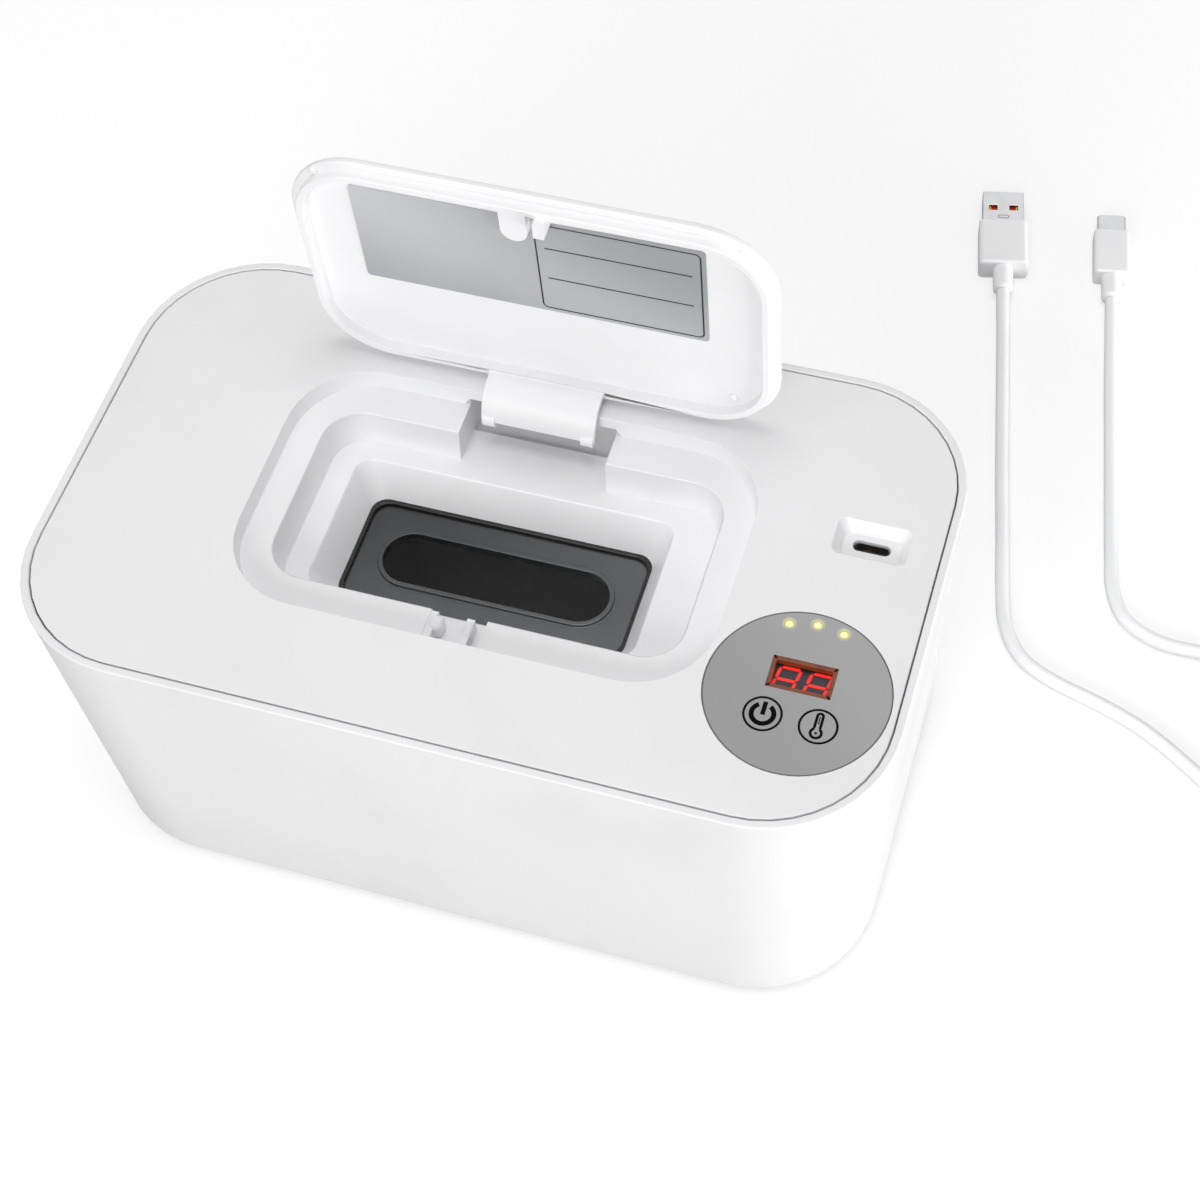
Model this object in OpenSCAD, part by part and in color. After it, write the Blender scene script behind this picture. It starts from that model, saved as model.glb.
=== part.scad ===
// Baby wipe warmer: a drafted tub with a lift-off heated cover, a flip lid and a detachable lead.
// Origin at the bottom centre of the body, +X along its long side, +Y to the hinge side, +Z up.

/* [Body] */
// Width of the cover at the seam
deck_w = 199.7; // [194:0.1:210]
// Depth of the cover at the seam
deck_d = 117.3; // [112:0.1:125]
// Corner radius of the cover
deck_r = 28.2; // [24:0.1:32]
// Height of the deck above the surface that the feet stand on
body_h = 91; // [84:0.5:105]
// Open seam between the cover and the rim
seam_gap = 0.3; // [0.2:0.05:0.6]
// Width of the rim that surrounds the seam
rim_t = 2.05; // [1.6:0.05:3]
// How far the base is drawn in on each side by the draft
base_inset = 2.7; // [1:0.1:4]
// Wall of the outer shell
shell_wall = 2.6; // [2:0.1:3.2]
// Floor of the outer shell
shell_floor = 2.5; // [2:0.1:4]
// How far the feet stand proud of the base
foot_proud = 1; // [0.5:0.1:2]
// Radius of a foot
foot_r = 7; // [5:0.5:9]

/* [Tub] */
// Wall of the inner tub
tub_wall = 1.6; // [1.2:0.1:2]
// Height of the tub's floor above the standing surface
tub_floor_z = 12; // [11:0.5:20]
// Thickness of the flange that hangs the tub in the shell
flange_t = 1.8; // [1.4:0.1:2.4]

/* [Cover] */
// Thickness of the deck
deck_t = 2.5; // [2:0.1:2.6]
// Height of the cover's outer edge
cover_edge_h = 5.1; // [4.5:0.1:7]
// Wall of the cover's skirt and inner walls
skirt_wall = 1.8; // [1.4:0.1:2.2]
// Gap between the skirt and the tub
skirt_gap = 1; // [0.6:0.1:1.4]
// From the cover's left or right edge to the basin
basin_side = 43.15; // [41:0.05:46]
// From the cover's front or back edge to the basin
basin_end = 25.35; // [24:0.05:27]
// Corner radius of the basin
basin_r = 18.5; // [14:0.5:22]
// Depth of the lid seat below the deck
seat_depth = 4.8; // [4.5:0.1:5.5]
// Width of the seat on the left and right
seat_side = 7.6; // [6:0.1:9]
// Width of the seat at the front
seat_front = 9.55; // [8:0.05:11]
// Width of the seat at the back
seat_back = 8.9; // [8:0.05:10]
// Depth of the basin floor below the deck
floor_depth = 13.8; // [13:0.1:15]
// Width of the throat where it leaves the basin floor
throat_w = 78.8; // [70:0.2:84]
// Depth of the throat from front to back
throat_d = 37.5; // [34:0.2:40]
// Depth of the heater plate's face below the deck
plate_depth = 24; // [23:0.5:27]

/* [Heater] */
// From the cover's left or right edge to the heater plate
plate_side = 29.85; // [28:0.05:36]
// From the cover's front or back edge to the heater plate
plate_end = 20.65; // [20:0.05:23]
// Thickness of the heater plate
plate_t = 1.5; // [1:0.1:2]
// Length of the dispensing slot
slot_l = 56; // [46:1:62]
// Width of the dispensing slot
slot_w = 14; // [10:0.5:18]

/* [Lid] */
// Gap between the lid and the basin wall
lid_gap = 0.4; // [0.3:0.05:0.6]
// Thickness of the lid's plate
lid_t = 1.8; // [1.4:0.1:2]
// How far the lid stands open at rest, from closed
lid_open = 88; // [70:1:90]
// Width of the hinge neck
neck_w = 28; // [22:0.5:32]
// Thickness of the hinge neck
neck_t = 1.6; // [1.2:0.1:1.8]
// Width of the label plate inside the lid
label_w = 81.4; // [70:0.1:84]
// Depth of the label plate
label_d = 30.5; // [26:0.1:32]
// Radius of the hinge pin
pin_r = 1; // [0.8:0.05:1.1]
// Radial clearance of the pin in the lid's arms
pin_play = 0.04; // [0.02:0.01:0.08]

/* [Panel and socket] */
// Radius of the control panel disc
disc_r = 20.5; // [19.5:0.1:21]
// Distance from the cover's right edge to the disc's centre
disc_from_side = 21.95; // [21.7:0.05:24]
// Distance from the cover's front edge to the disc's centre
disc_from_front = 32.45; // [31:0.05:34]
// Width of the display window
window_w = 14.4; // [13:0.1:15]
// Height of the display window
window_h = 8.1; // [7:0.1:9]
// Distance from the cover's right edge to the socket
socket_from_side = 15.55; // [14.5:0.05:18]
// Distance from the cover's back edge to the socket
socket_from_back = 42.5; // [36:0.1:44]
// Depth of the recess round the socket
recess_depth = 2.8; // [2:0.1:3.4]

/* [Lead] */
// Diameter of the lead
cord_d = 3.8; // [3:0.1:4]
// Turns of the stored coil
coil_turns = 4.5; // [3.5,4.5]
// Radius of the coil's outermost turn
coil_r = 26; // [24:0.5:28]

/* [Hidden] */

corner_steps = 10; // facets on each rounded corner
eps = 0.01;
$fn = 48;

// Heights that the pieces share
deck_z = body_h;
flange_z = deck_z - cover_edge_h - 0.1;
ledge_z = flange_z - flange_t;
seat_z = deck_z - seat_depth;
floor_z = deck_z - floor_depth;
plate_z = deck_z - plate_depth;
gasket_t = 1;
throat_z = plate_z + gasket_t;
skirt_z = plate_z - plate_t;
pan_t = 2.6;
pan_z = skirt_z - pan_t;

// Outer shell
rim_w = deck_w + 2 * (seam_gap + rim_t);
rim_d = deck_d + 2 * (seam_gap + rim_t);
rim_r = deck_r + seam_gap + rim_t;
rim_drop = 0.55;
base_w = rim_w - 2 * base_inset;
base_d = rim_d - 2 * base_inset;
pocket_w = deck_w + 2 * seam_gap;
pocket_d = deck_d + 2 * seam_gap;
pocket_r = deck_r + seam_gap;
ledge_in = 1.85;
base_edge = 1.6;

// Tub, hung by its flange
tub_play = 0.9;
tub_draft = 2.9;
tub_w = pocket_w - 2 * (ledge_in + tub_play);
tub_d = pocket_d - 2 * (ledge_in + tub_play);
tub_r = pocket_r - ledge_in - tub_play;
tub_bottom_z = tub_floor_z - 1.8;

// Skirt of the cover, inside the tub
skirt_w = tub_w - 2 * (tub_wall + skirt_gap);
skirt_d = tub_d - 2 * (tub_wall + skirt_gap);
skirt_r = tub_r - tub_wall - skirt_gap;
skirt_draft = 1;

// Basin: its middle lies a little off the deck's middle
basin_at = [0.3, 0.35];
basin_w = deck_w - 2 * basin_side;
basin_d = deck_d - 2 * basin_end;
basin_back = basin_at[1] + basin_d / 2;
seat_w = basin_w - 2 * seat_side;
seat_d = basin_d - seat_front - seat_back;
seat_r = 9;
basin_edge = 0.5;
seat_at = [basin_at[0], basin_at[1] + (seat_front - seat_back) / 2];
throat_at = [-1.8, -0.55];
throat_r = 4;
throat_draft = 4;
gasket_lip = 1;
plate_w = deck_w - 2 * plate_side;
plate_d = deck_d - 2 * plate_end;

// Hinge: the pin lies under the deck behind the basin's back wall
pin_y = basin_back + 4.6;
pin_z = deck_z - 5;
neck_x = 0.6;
neck_r = 7 + neck_t;
arm_t = 3;
arm_r = 2.3;
arm_reach = 6.9;
arm_web = 3.6;
arm_inset = 0.3;
neck_from = 144.5;
neck_to = 265;
pocket_side = 4.2;
bearing_t = 3.5;
lintel_t = 2.6;
hinge_pocket_d = basin_back + 10.85;

// Lid, described closed, with its top flush with the deck
lid_w = basin_w - 2 * lid_gap;
lid_back = basin_back - 0.65;
lid_front = basin_at[1] - basin_d / 2 + lid_gap;
lid_d = lid_back - lid_front;
lid_r = basin_r - lid_gap;
lid_at = [basin_at[0], (lid_back + lid_front) / 2];
lip_inset = 1.8;
lip_t = 1.8;
lip_z = seat_z + 0.3;
tongue_x = -2;
tongue_w = 6.2;
tongue_end = -20;
latch_x = 4.75;
latch_w = 2.4;
label_t = 0.3;
label_at = lid_at - [0.6, 10.475];

// Control panel
disc_at = [deck_w / 2 - disc_from_side, disc_from_front - deck_d / 2];
disc_t = 0.95;
disc_recess = 1;
window_at = [0.05, 3.95];
led_places = [[-6, 16.6], [0.1, 17.8], [6.2, 16.9]];
led_r = 0.95;
key_places = [[-5.8, -7.1], [6.4, -7.1]];
spring_r = 3;
board_z = deck_z - 11;
board_t = 1.6;
board_left = -17;
board_right = 12.8;
board_front = -18.8;
board_back = 22.2;
board_round = 16;
pcb_posts = [[-14.3, 19.2], [10, 19.2], [-14.3, -16]];
display_w = 15;
display_h = 10.2;
display_z = deck_z - 1.8;

// Socket that faces up in its recess
socket_at = [deck_w / 2 - socket_from_side, deck_d / 2 - socket_from_back];
socket_w = 8.94;
socket_d = 3.2;
socket_wall = 0.3;
socket_h = 9.5;
mouth_w = 8.76;
mouth_d = 2.9;
recess_w = 17.2;
recess_d = 10.1;
recess_floor_w = 13;
recess_floor_d = 6;
recess_skin = 0.8;
recess_z = deck_z - recess_depth;
socket_top = recess_z - recess_skin;
socket_posts = [[0, -7.6], [0, 7.6]];
socket_board_w = 13.6;
socket_board_d = 19;

// Screws
screw_r = 1.45;
screw_hole = 1.5;
head_r = 2.8;
head_h = 1.5;
small_screw_r = 1;
small_head_r = 1.9;
foot_places = [for (x = [-1, 1], y = [-1, 1]) [x * (base_w / 2 - 21.5), y * (base_d / 2 - 20.3)]];
cover_posts = concat(
    [for (x = [-1, 1], y = [-1, 1]) [x * (basin_w / 2 - 0.7), y * (skirt_d / 2 - 10.6)]],
    [[-skirt_w / 2 + 8.8, 0], [skirt_w / 2 - 7.8, socket_at[1] + socket_board_d / 2 + 4.15]]
);

// Lead: both plugs lie flat and point away from the camera's side
cord_r = cord_d / 2;
plug_body_l = 16.6;
relief_l = 8.3;
relief_r = 2.9;
plug_a_tip = [82.4, 207.4];
plug_a_turn = -78.3;
plug_a_shell_l = 12.15;
plug_a_z = 3.8;
plug_c_tip = [114.9, 207.5];
plug_c_turn = -79.8;
plug_c_shell_l = 7;
plug_c_z = 3.1;
coil_at = [202, 40];
coil_lift = 0.8;
coil_pitch = cord_d + 0.5;
coil_steps = 24;
coil_z = cord_r + coil_lift;
coil_top_z = coil_z + coil_pitch;
function ahead(from, turn, l, z) = [from[0] + l * cos(turn), from[1] + l * sin(turn), z];
function plug_end(tip, turn, shell_l, past, z) = ahead(tip, turn, shell_l + plug_body_l + relief_l + past, z);
route_a = [
    plug_end(plug_a_tip, plug_a_turn, plug_a_shell_l, 0.2, plug_a_z),
    plug_end(plug_a_tip, plug_a_turn, plug_a_shell_l, 5, plug_a_z - 0.4),
    [93, 157, 2], [95, 147, cord_r], [99, 127, cord_r], [103, 107, cord_r], [107, 88, cord_r],
    [110.5, 71, cord_r], [113.5, 60, cord_r], [119.5, 51, cord_r], [129, 46, cord_r],
    [141, 42.5, cord_r], [153, 38, cord_r], [164, 31.5, cord_r], [175, 24, cord_r],
    [186, 17.5, cord_r], coil_start_lead() - [0.6, 0, 0]
];
route_c = [
    plug_end(plug_c_tip, plug_c_turn, plug_c_shell_l, 0.2, plug_c_z),
    plug_end(plug_c_tip, plug_c_turn, plug_c_shell_l, 5, plug_c_z - 0.3),
    [123.8, 158, 2], [125.7, 147, cord_r], [129.3, 127, cord_r], [132.9, 107, cord_r], [136.2, 89, cord_r],
    [138.6, 78, cord_r], [143.5, 69.5, cord_r], [152.5, 65, cord_r], [163, 64.5, cord_r],
    [175, 65.3, 2.6], [186, 65.9, 4.6], coil_end_lead() - [0.6, 0, 0]
];

// ---- shapes ----

// Outline of a rounded rectangle, counter-clockwise
function rounded(w, d, r) = [
    for (q = [0:3], i = [0:corner_steps])
        let (a = 90 * q + 90 * i / corner_steps, sx = q == 0 || q == 3 ? 1 : -1, sy = q < 2 ? 1 : -1)
        [sx * (w / 2 - r) + r * cos(a), sy * (d / 2 - r) + r * sin(a)]
];

// Solid through rounded rectangles, each [width, depth, corner, z, middle], from the lowest up
module loft(rings, at = [0, 0]) {
    m = 4 * (corner_steps + 1);
    top = len(rings) - 1;
    points = [
        for (g = rings)
            let (c = is_undef(g[4]) ? at : g[4])
            for (p = rounded(g[0], g[1], g[2])) [p[0] + c[0], p[1] + c[1], g[3]]
    ];
    sides = [
        for (k = [0:top - 1], i = [0:m - 1])
            let (j = (i + 1) % m, a = k * m + i, b = k * m + j)
            each [[a, a + m, b + m], [a, b + m, b]]
    ];
    polyhedron(points, concat([[for (i = [0:m - 1]) i]], sides, [[for (i = [m - 1:-1:0]) top * m + i]]));
}

// Straight prism on a rounded rectangle
module slab(w, d, r, z, h, at = [0, 0]) {
    translate([at[0], at[1], z])
        linear_extrude(h)
            polygon(rounded(w, d, r));
}

// Ring between two rounded rectangles
module frame_ring(w, d, r, wall, z, h, at = [0, 0]) {
    difference() {
        slab(w, d, r, z, h, at);
        slab(w - 2 * wall, d - 2 * wall, r - wall, z - eps, h + 2 * eps, at);
    }
}

// Bar with two round ends, lying along X
module stadium(l, w, z, h) {
    translate([0, 0, z]) {
        for (s = [-1, 1])
            translate([s * (l - w) / 2, 0, 0])
                cylinder(r = w / 2, h = h);
        translate([-(l - w) / 2, -w / 2, 0])
            cube([l - w, w, h]);
    }
}

// Puts a shape drawn in the Y-Z plane along X, centred on the hinge pin
module on_pin(x) {
    translate([x, pin_y, pin_z])
        rotate([90, 0, 90])
            children();
}

// Swings the closed lid to where it rests
module lid_at_rest() {
    translate([0, pin_y, pin_z])
        rotate([-lid_open, 0, 0])
            translate([0, -pin_y, -pin_z])
                children();
}

// Pan-head screw, its head down, with its shank from z up by l
module screw(z, l, r, hr, hh) {
    translate([0, 0, z])
        cylinder(r = r, h = l);
    difference() {
        translate([0, 0, z - hh])
            cylinder(r = hr, h = hh + eps);
        for (a = [0, 90])
            rotate(a)
                translate([-hr * 0.6, -0.35, z - hh - eps])
                    cube([hr * 1.2, 0.7, hh * 0.6]);
    }
}

// Smooth curve through a route's points, with steps on each stretch
function between(a, b, c, d, t) =
    0.5 * (2 * b + (c - a) * t + (2 * a - 5 * b + 4 * c - d) * t * t + (3 * b - a - 3 * c + d) * t * t * t);
function smooth(p, steps) = [
    for (i = [0:len(p) - 2], s = [0:steps - 1])
        between(
            i == 0 ? 2 * p[0] - p[1] : p[i - 1],
            p[i],
            p[i + 1],
            i == len(p) - 2 ? 2 * p[i + 1] - p[i] : p[i + 2],
            s / steps
        ),
    p[len(p) - 1]
];
function unit(v) = v / norm(v);
function heading(p, i) = unit(p[min(i + 1, len(p) - 1)] - p[max(i - 1, 0)]);

// Tube swept along points
module tube(p, r, sides) {
    n = len(p);
    points = [
        for (i = [0:n - 1])
            let (t = heading(p, i), u = unit(cross(t, [0, 0, 1])), v = cross(u, t))
            for (k = [0:sides - 1])
                p[i] + r * (cos(360 * k / sides) * u + sin(360 * k / sides) * v)
    ];
    walls = [
        for (i = [0:n - 2], k = [0:sides - 1])
            let (j = (k + 1) % sides, a = i * sides + k, b = i * sides + j)
            each [[a, b + sides, a + sides], [a, b, b + sides]]
    ];
    first = [for (k = [1:sides - 2]) [0, k + 1, k]];
    last = [for (k = [1:sides - 2]) (n - 1) * sides * [1, 1, 1] + [0, k, k + 1]];
    polyhedron(points, concat(first, walls, last));
}

// Centre line of the coil: in on the floor layer, up half a turn round the middle, out on the top layer
function climb(t) = let (u = min(1, max(0, 2 * (t - coil_turns / 2) + 0.5))) u * u * (3 - 2 * u);
function coil_point(t) =
    let (r = coil_r - coil_pitch * min(t, coil_turns - t), a = 360 * t - 90)
    [coil_at[0] + r * cos(a), coil_at[1] + r * sin(a), coil_z + coil_pitch * climb(t)];
function coil_line(steps) = [for (i = [0:coil_turns * steps]) coil_point(i / steps)];
function coil_start_lead() = [coil_at[0] - cord_d, coil_at[1] - coil_r, coil_z];
function coil_end_lead() =
    let (e = coil_point(coil_turns))
    [e[0] + (e[1] > coil_at[1] ? -cord_d : cord_d), e[1], e[2]];
function line_length(p, i = 0) = i >= len(p) - 1 ? 0 : norm(p[i + 1] - p[i]) + line_length(p, i + 1);

// ---- body ----

module outer_shell() {
    color("white")
        difference() {
            union() {
                difference() {
                    loft([
                        [base_w - 2 * base_edge, base_d - 2 * base_edge, rim_r - 2, foot_proud],
                        [base_w - 0.6, base_d - 0.6, rim_r - 0.9, foot_proud + 0.5],
                        [base_w, base_d, rim_r - 0.5, foot_proud + base_edge],
                        [rim_w, rim_d, rim_r, deck_z - rim_drop],
                        [rim_w - 0.4, rim_d - 0.4, rim_r - 0.2, deck_z - 0.12],
                        [rim_w - 1.2, rim_d - 1.2, rim_r - 0.6, deck_z]
                    ]);
                    loft([
                        [base_w - 2 * shell_wall, base_d - 2 * shell_wall, rim_r - shell_wall - 0.5,
                            foot_proud + shell_floor],
                        [rim_w - 2 * shell_wall - 0.6, rim_d - 2 * shell_wall - 0.6, rim_r - shell_wall - 0.3,
                            ledge_z - 3.5],
                        [pocket_w - 2 * ledge_in, pocket_d - 2 * ledge_in, pocket_r - ledge_in, ledge_z - 1.5],
                        [pocket_w - 2 * ledge_in, pocket_d - 2 * ledge_in, pocket_r - ledge_in, ledge_z],
                        [pocket_w, pocket_d, pocket_r, ledge_z],
                        [pocket_w, pocket_d, pocket_r, deck_z - 0.3],
                        [pocket_w + 0.5, pocket_d + 0.5, pocket_r + 0.25, deck_z + eps]
                    ]);
                }
                for (p = foot_places)
                    translate([p[0], p[1], foot_proud + shell_floor - eps])
                        cylinder(r = foot_r + 2, h = tub_bottom_z - foot_proud - shell_floor - 3.8);
            }
            for (p = foot_places)
                translate([p[0], p[1], foot_proud - eps]) {
                    cylinder(r = foot_r + 0.1, h = 1 + eps);
                    cylinder(r = head_r + 0.3, h = 3.2);
                    cylinder(r = screw_hole + 0.2, h = tub_bottom_z);
                }
        }
}

module inner_tub() {
    color("whitesmoke")
        difference() {
            union() {
                loft([
                    [tub_w - 2 * tub_draft, tub_d - 2 * tub_draft, tub_r - 1.6, tub_bottom_z],
                    [tub_w, tub_d, tub_r, ledge_z],
                    [pocket_w - 0.4, pocket_d - 0.4, pocket_r - 0.2, ledge_z],
                    [pocket_w - 0.4, pocket_d - 0.4, pocket_r - 0.2, flange_z]
                ]);
                for (p = foot_places)
                    translate([p[0], p[1], tub_bottom_z - 3.7])
                        cylinder(r = 4, h = 3.7 + eps);
            }
            loft([
                [tub_w - 2 * (tub_draft + tub_wall), tub_d - 2 * (tub_draft + tub_wall), tub_r - tub_wall - 1.6,
                    tub_floor_z],
                [tub_w - 2 * tub_wall, tub_d - 2 * tub_wall, tub_r - tub_wall, flange_z + eps]
            ]);
            for (p = foot_places)
                translate([p[0], p[1], tub_bottom_z - 4])
                    cylinder(r = screw_hole, h = 4.8);
        }
}

module feet() {
    color("silver")
        for (p = foot_places)
            translate([p[0], p[1], 0])
                rotate_extrude()
                    polygon([[0, 0], [foot_r - 0.6, 0], [foot_r, 0.6], [foot_r, foot_proud + 0.95],
                        [0, foot_proud + 0.95]]);
}

module base_screws() {
    color("lightgray")
        for (p = foot_places)
            translate([p[0], p[1], 0])
                screw(foot_proud + 3.15, tub_bottom_z - foot_proud - 2.6, screw_r, head_r, head_h);
}

// ---- cover ----

// Walls of the basin and the throat from below, as a solid
module basin_walls() {
    w = 2 * skirt_wall;
    loft([
        [throat_w - 2 * throat_draft + w, throat_d - 2 * throat_draft + w, throat_r + 2, throat_z, throat_at],
        [throat_w + w, throat_d + w, throat_r + skirt_wall, floor_z - skirt_wall, throat_at],
        [seat_w + w, seat_d + w, seat_r + skirt_wall, floor_z - skirt_wall, seat_at],
        [seat_w + w, seat_d + w, seat_r + skirt_wall, seat_z - skirt_wall, seat_at],
        [basin_w + w, basin_d + w, basin_r + skirt_wall, seat_z - skirt_wall, basin_at],
        [basin_w + w, basin_d + w, basin_r + skirt_wall, deck_z - deck_t + eps, basin_at]
    ]);
}

// Hollow of the basin and the throat
module basin_hollow() {
    seat_draft = 1.1;
    loft([
        [throat_w - 2 * throat_draft, throat_d - 2 * throat_draft, throat_r, throat_z - eps, throat_at],
        [throat_w, throat_d, throat_r, floor_z - 0.5, throat_at],
        [throat_w + 1, throat_d + 1, throat_r + 0.5, floor_z, throat_at],
        [seat_w - 2 * seat_draft, seat_d - 2 * seat_draft, seat_r - 1, floor_z, seat_at],
        [seat_w, seat_d, seat_r, seat_z - 0.4, seat_at],
        [seat_w + 0.8, seat_d + 0.8, seat_r + 0.4, seat_z, seat_at],
        [basin_w, basin_d, basin_r, seat_z, basin_at],
        [basin_w, basin_d, basin_r, deck_z - basin_edge, basin_at],
        [basin_w + 2 * basin_edge, basin_d + 2 * basin_edge, basin_r + basin_edge, deck_z + eps, basin_at]
    ]);
}

// Pocket that the hinge neck swings in, open to the basin and running back under the deck
module hinge_hollow() {
    left = neck_x - neck_w / 2 - pocket_side;
    width = neck_w + 2 * pocket_side;
    back = hinge_pocket_d;
    front = seat_at[1] + seat_d / 2 - 2;
    step = basin_back - 0.65;
    translate([left, front, floor_z])
        cube([width, back - front, deck_z - lintel_t - floor_z]);
    translate([left, step, floor_z - 1.2])
        cube([width, back - step, 2]);
}

module hinge_housing() {
    left = neck_x - neck_w / 2 - pocket_side - bearing_t;
    width = neck_w + 2 * (pocket_side + bearing_t);
    front = seat_at[1] + seat_d / 2 - 1;
    translate([left, front, floor_z - 1.2 - skirt_wall])
        cube([width, hinge_pocket_d + skirt_wall - front, deck_z - floor_z + 1.2 + skirt_wall - 1]);
}

// Window in the front of the seat that takes the lid's tongue and latch, with its two ribs
module catch_window() {
    depth = 4.2;
    front = basin_at[1] - basin_d / 2 + 0.5;
    back = seat_at[1] - seat_d / 2 + 2;
    difference() {
        translate([-7.2, front, seat_z - depth])
            cube([13.4, back - front, depth + eps]);
        for (x = [-7.2, 1.4])
            translate([x, front - eps, seat_z - depth - eps])
                cube([1.8, back - front - 2.4, depth - 0.4]);
    }
    translate([3.4, front + 0.4, seat_z - 7])
        cube([2.6, 3, 4]);
}

module catch_housing() {
    front = basin_at[1] - basin_d / 2 - 0.5;
    translate([-9.4, front, seat_z - 6])
        cube([17.8, seat_at[1] - seat_d / 2 - 0.6 - front, 5]);
}

module top_cover() {
    under = deck_z - deck_t;
    color("white")
        difference() {
            union() {
                difference() {
                    loft([
                        [deck_w, deck_d, deck_r, deck_z - cover_edge_h],
                        [deck_w, deck_d, deck_r, deck_z - 0.35],
                        [deck_w - 0.25, deck_d - 0.25, deck_r - 0.12, deck_z - 0.08],
                        [deck_w - 0.8, deck_d - 0.8, deck_r - 0.4, deck_z]
                    ]);
                    slab(deck_w - 2 * skirt_wall, deck_d - 2 * skirt_wall, deck_r - skirt_wall,
                        deck_z - cover_edge_h - eps, cover_edge_h - deck_t + eps);
                }
                difference() {
                    loft([
                        [skirt_w - 2 * skirt_draft, skirt_d - 2 * skirt_draft, skirt_r - skirt_draft, skirt_z],
                        [skirt_w, skirt_d, skirt_r, under + eps]
                    ]);
                    loft([
                        [skirt_w - 2 * (skirt_draft + skirt_wall), skirt_d - 2 * (skirt_draft + skirt_wall),
                            skirt_r - skirt_draft - skirt_wall, skirt_z - eps],
                        [skirt_w - 2 * skirt_wall, skirt_d - 2 * skirt_wall, skirt_r - skirt_wall, under]
                    ]);
                }
                basin_walls();
                hinge_housing();
                catch_housing();
                slab(recess_w + 3, recess_d + 3, 3, socket_top, under - socket_top + eps, socket_at);
                for (p = cover_posts)
                    translate([p[0], p[1], skirt_z])
                        cylinder(r = 3, h = under - skirt_z + eps);
                for (p = pcb_posts)
                    translate([disc_at[0] + p[0], disc_at[1] + p[1], board_z + board_t])
                        cylinder(r = 2.2, h = under - board_z - board_t + eps);
                for (p = socket_posts)
                    translate([socket_at[0] + p[0], socket_at[1] + p[1], socket_top - socket_h])
                        cylinder(r = 2.2, h = under - socket_top + socket_h + eps);
            }
            basin_hollow();
            hinge_hollow();
            catch_window();
            on_pin(neck_x)
                cylinder(r = pin_r + 0.02, h = neck_w + 2 * pocket_side + 4, center = true);
            translate([disc_at[0], disc_at[1], 0]) {
                translate([0, 0, deck_z - disc_recess])
                    cylinder(r = disc_r + 0.1, h = 2, $fn = 96);
                for (p = led_places)
                    translate([p[0], p[1], under - 1])
                        cylinder(r = led_r + 0.25, h = 4);
                translate([window_at[0] - display_w / 2 - 0.2, window_at[1] - display_h / 2 - 0.2, under - 1])
                    cube([display_w + 0.4, display_h + 0.4, 4]);
            }
            loft([
                [recess_floor_w, recess_floor_d, 1.2, recess_z],
                [recess_w, recess_d, 2, deck_z + eps]
            ], socket_at);
            translate([socket_at[0], socket_at[1], 0])
                stadium(mouth_w, mouth_d, socket_top - 1, recess_skin + 2);
            for (p = cover_posts)
                translate([p[0], p[1], skirt_z - eps])
                    cylinder(r = screw_hole, h = 8);
            for (p = pcb_posts)
                translate([disc_at[0] + p[0], disc_at[1] + p[1], board_z])
                    cylinder(r = small_screw_r + 0.05, h = 6);
            for (p = socket_posts)
                translate([socket_at[0] + p[0], socket_at[1] + p[1], socket_top - socket_h - eps])
                    cylinder(r = small_screw_r + 0.05, h = 6);
        }
}

module cover_bottom() {
    color("whitesmoke")
        difference() {
            loft([
                [skirt_w - 2 * skirt_draft - 0.8, skirt_d - 2 * skirt_draft - 0.8, skirt_r - skirt_draft - 0.4, pan_z],
                [skirt_w - 2 * skirt_draft, skirt_d - 2 * skirt_draft, skirt_r - skirt_draft, pan_z + 0.5],
                [skirt_w - 2 * skirt_draft, skirt_d - 2 * skirt_draft, skirt_r - skirt_draft, skirt_z]
            ]);
            slab(plate_w - 12, plate_d - 12, 10, pan_z - eps, pan_t + 1);
            for (p = cover_posts)
                translate([p[0], p[1], pan_z - eps]) {
                    cylinder(r = head_r + 0.2, h = head_h + 0.1);
                    cylinder(r = screw_hole + 0.1, h = pan_t + 1);
                }
        }
}

module cover_screws() {
    color("lightgray")
        for (p = cover_posts)
            translate([p[0], p[1], 0])
                screw(pan_z + head_h + 0.05, 8, screw_r, head_r, head_h);
}

module hinge_pin() {
    color("silver")
        on_pin(neck_x)
            cylinder(r = pin_r, h = neck_w + 2 * pocket_side + 3.6, center = true);
}

// ---- heater ----

module heater_plate() {
    color("dimgray")
        difference() {
            union() {
                slab(plate_w, plate_d, 14, plate_z - plate_t, plate_t);
                translate([throat_at[0], throat_at[1], 0])
                    stadium(slot_l + 2.4, slot_w + 2.4, plate_z - eps, 0.7);
            }
            translate([throat_at[0], throat_at[1], 0])
                stadium(slot_l, slot_w, plate_z - plate_t - 1, plate_t + 3);
        }
}

// The film, the foam and the gasket all surround the throat
module round_throat(w, d, r, hole_w, hole_d, z, h) {
    difference() {
        slab(w, d, r, z, h);
        slab(hole_w, hole_d, throat_r + 2, z - 1, h + 2, throat_at);
    }
}

module heating_film() {
    color("orange")
        round_throat(plate_w - 6, plate_d - 6, 11, throat_w + 2, throat_d + 2, plate_z + 0.05, 0.35);
}

module heater_gasket() {
    foot_w = throat_w - 2 * throat_draft;
    foot_d = throat_d - 2 * throat_draft;
    color("black")
        difference() {
            slab(foot_w + 3, foot_d + 3, throat_r + 1.5, plate_z + 0.02, gasket_t - 0.04, throat_at);
            slab(foot_w - 2 * gasket_lip, foot_d - 2 * gasket_lip, throat_r, plate_z - 1, gasket_t + 2, throat_at);
        }
}

module insulation_foam() {
    height = floor_z - 1.2 - skirt_wall - plate_z - 1;
    color("gray")
        round_throat(plate_w - 24, plate_d - 8, 6, throat_w + 6, throat_d + 6, plate_z + 0.5, height);
}

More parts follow.
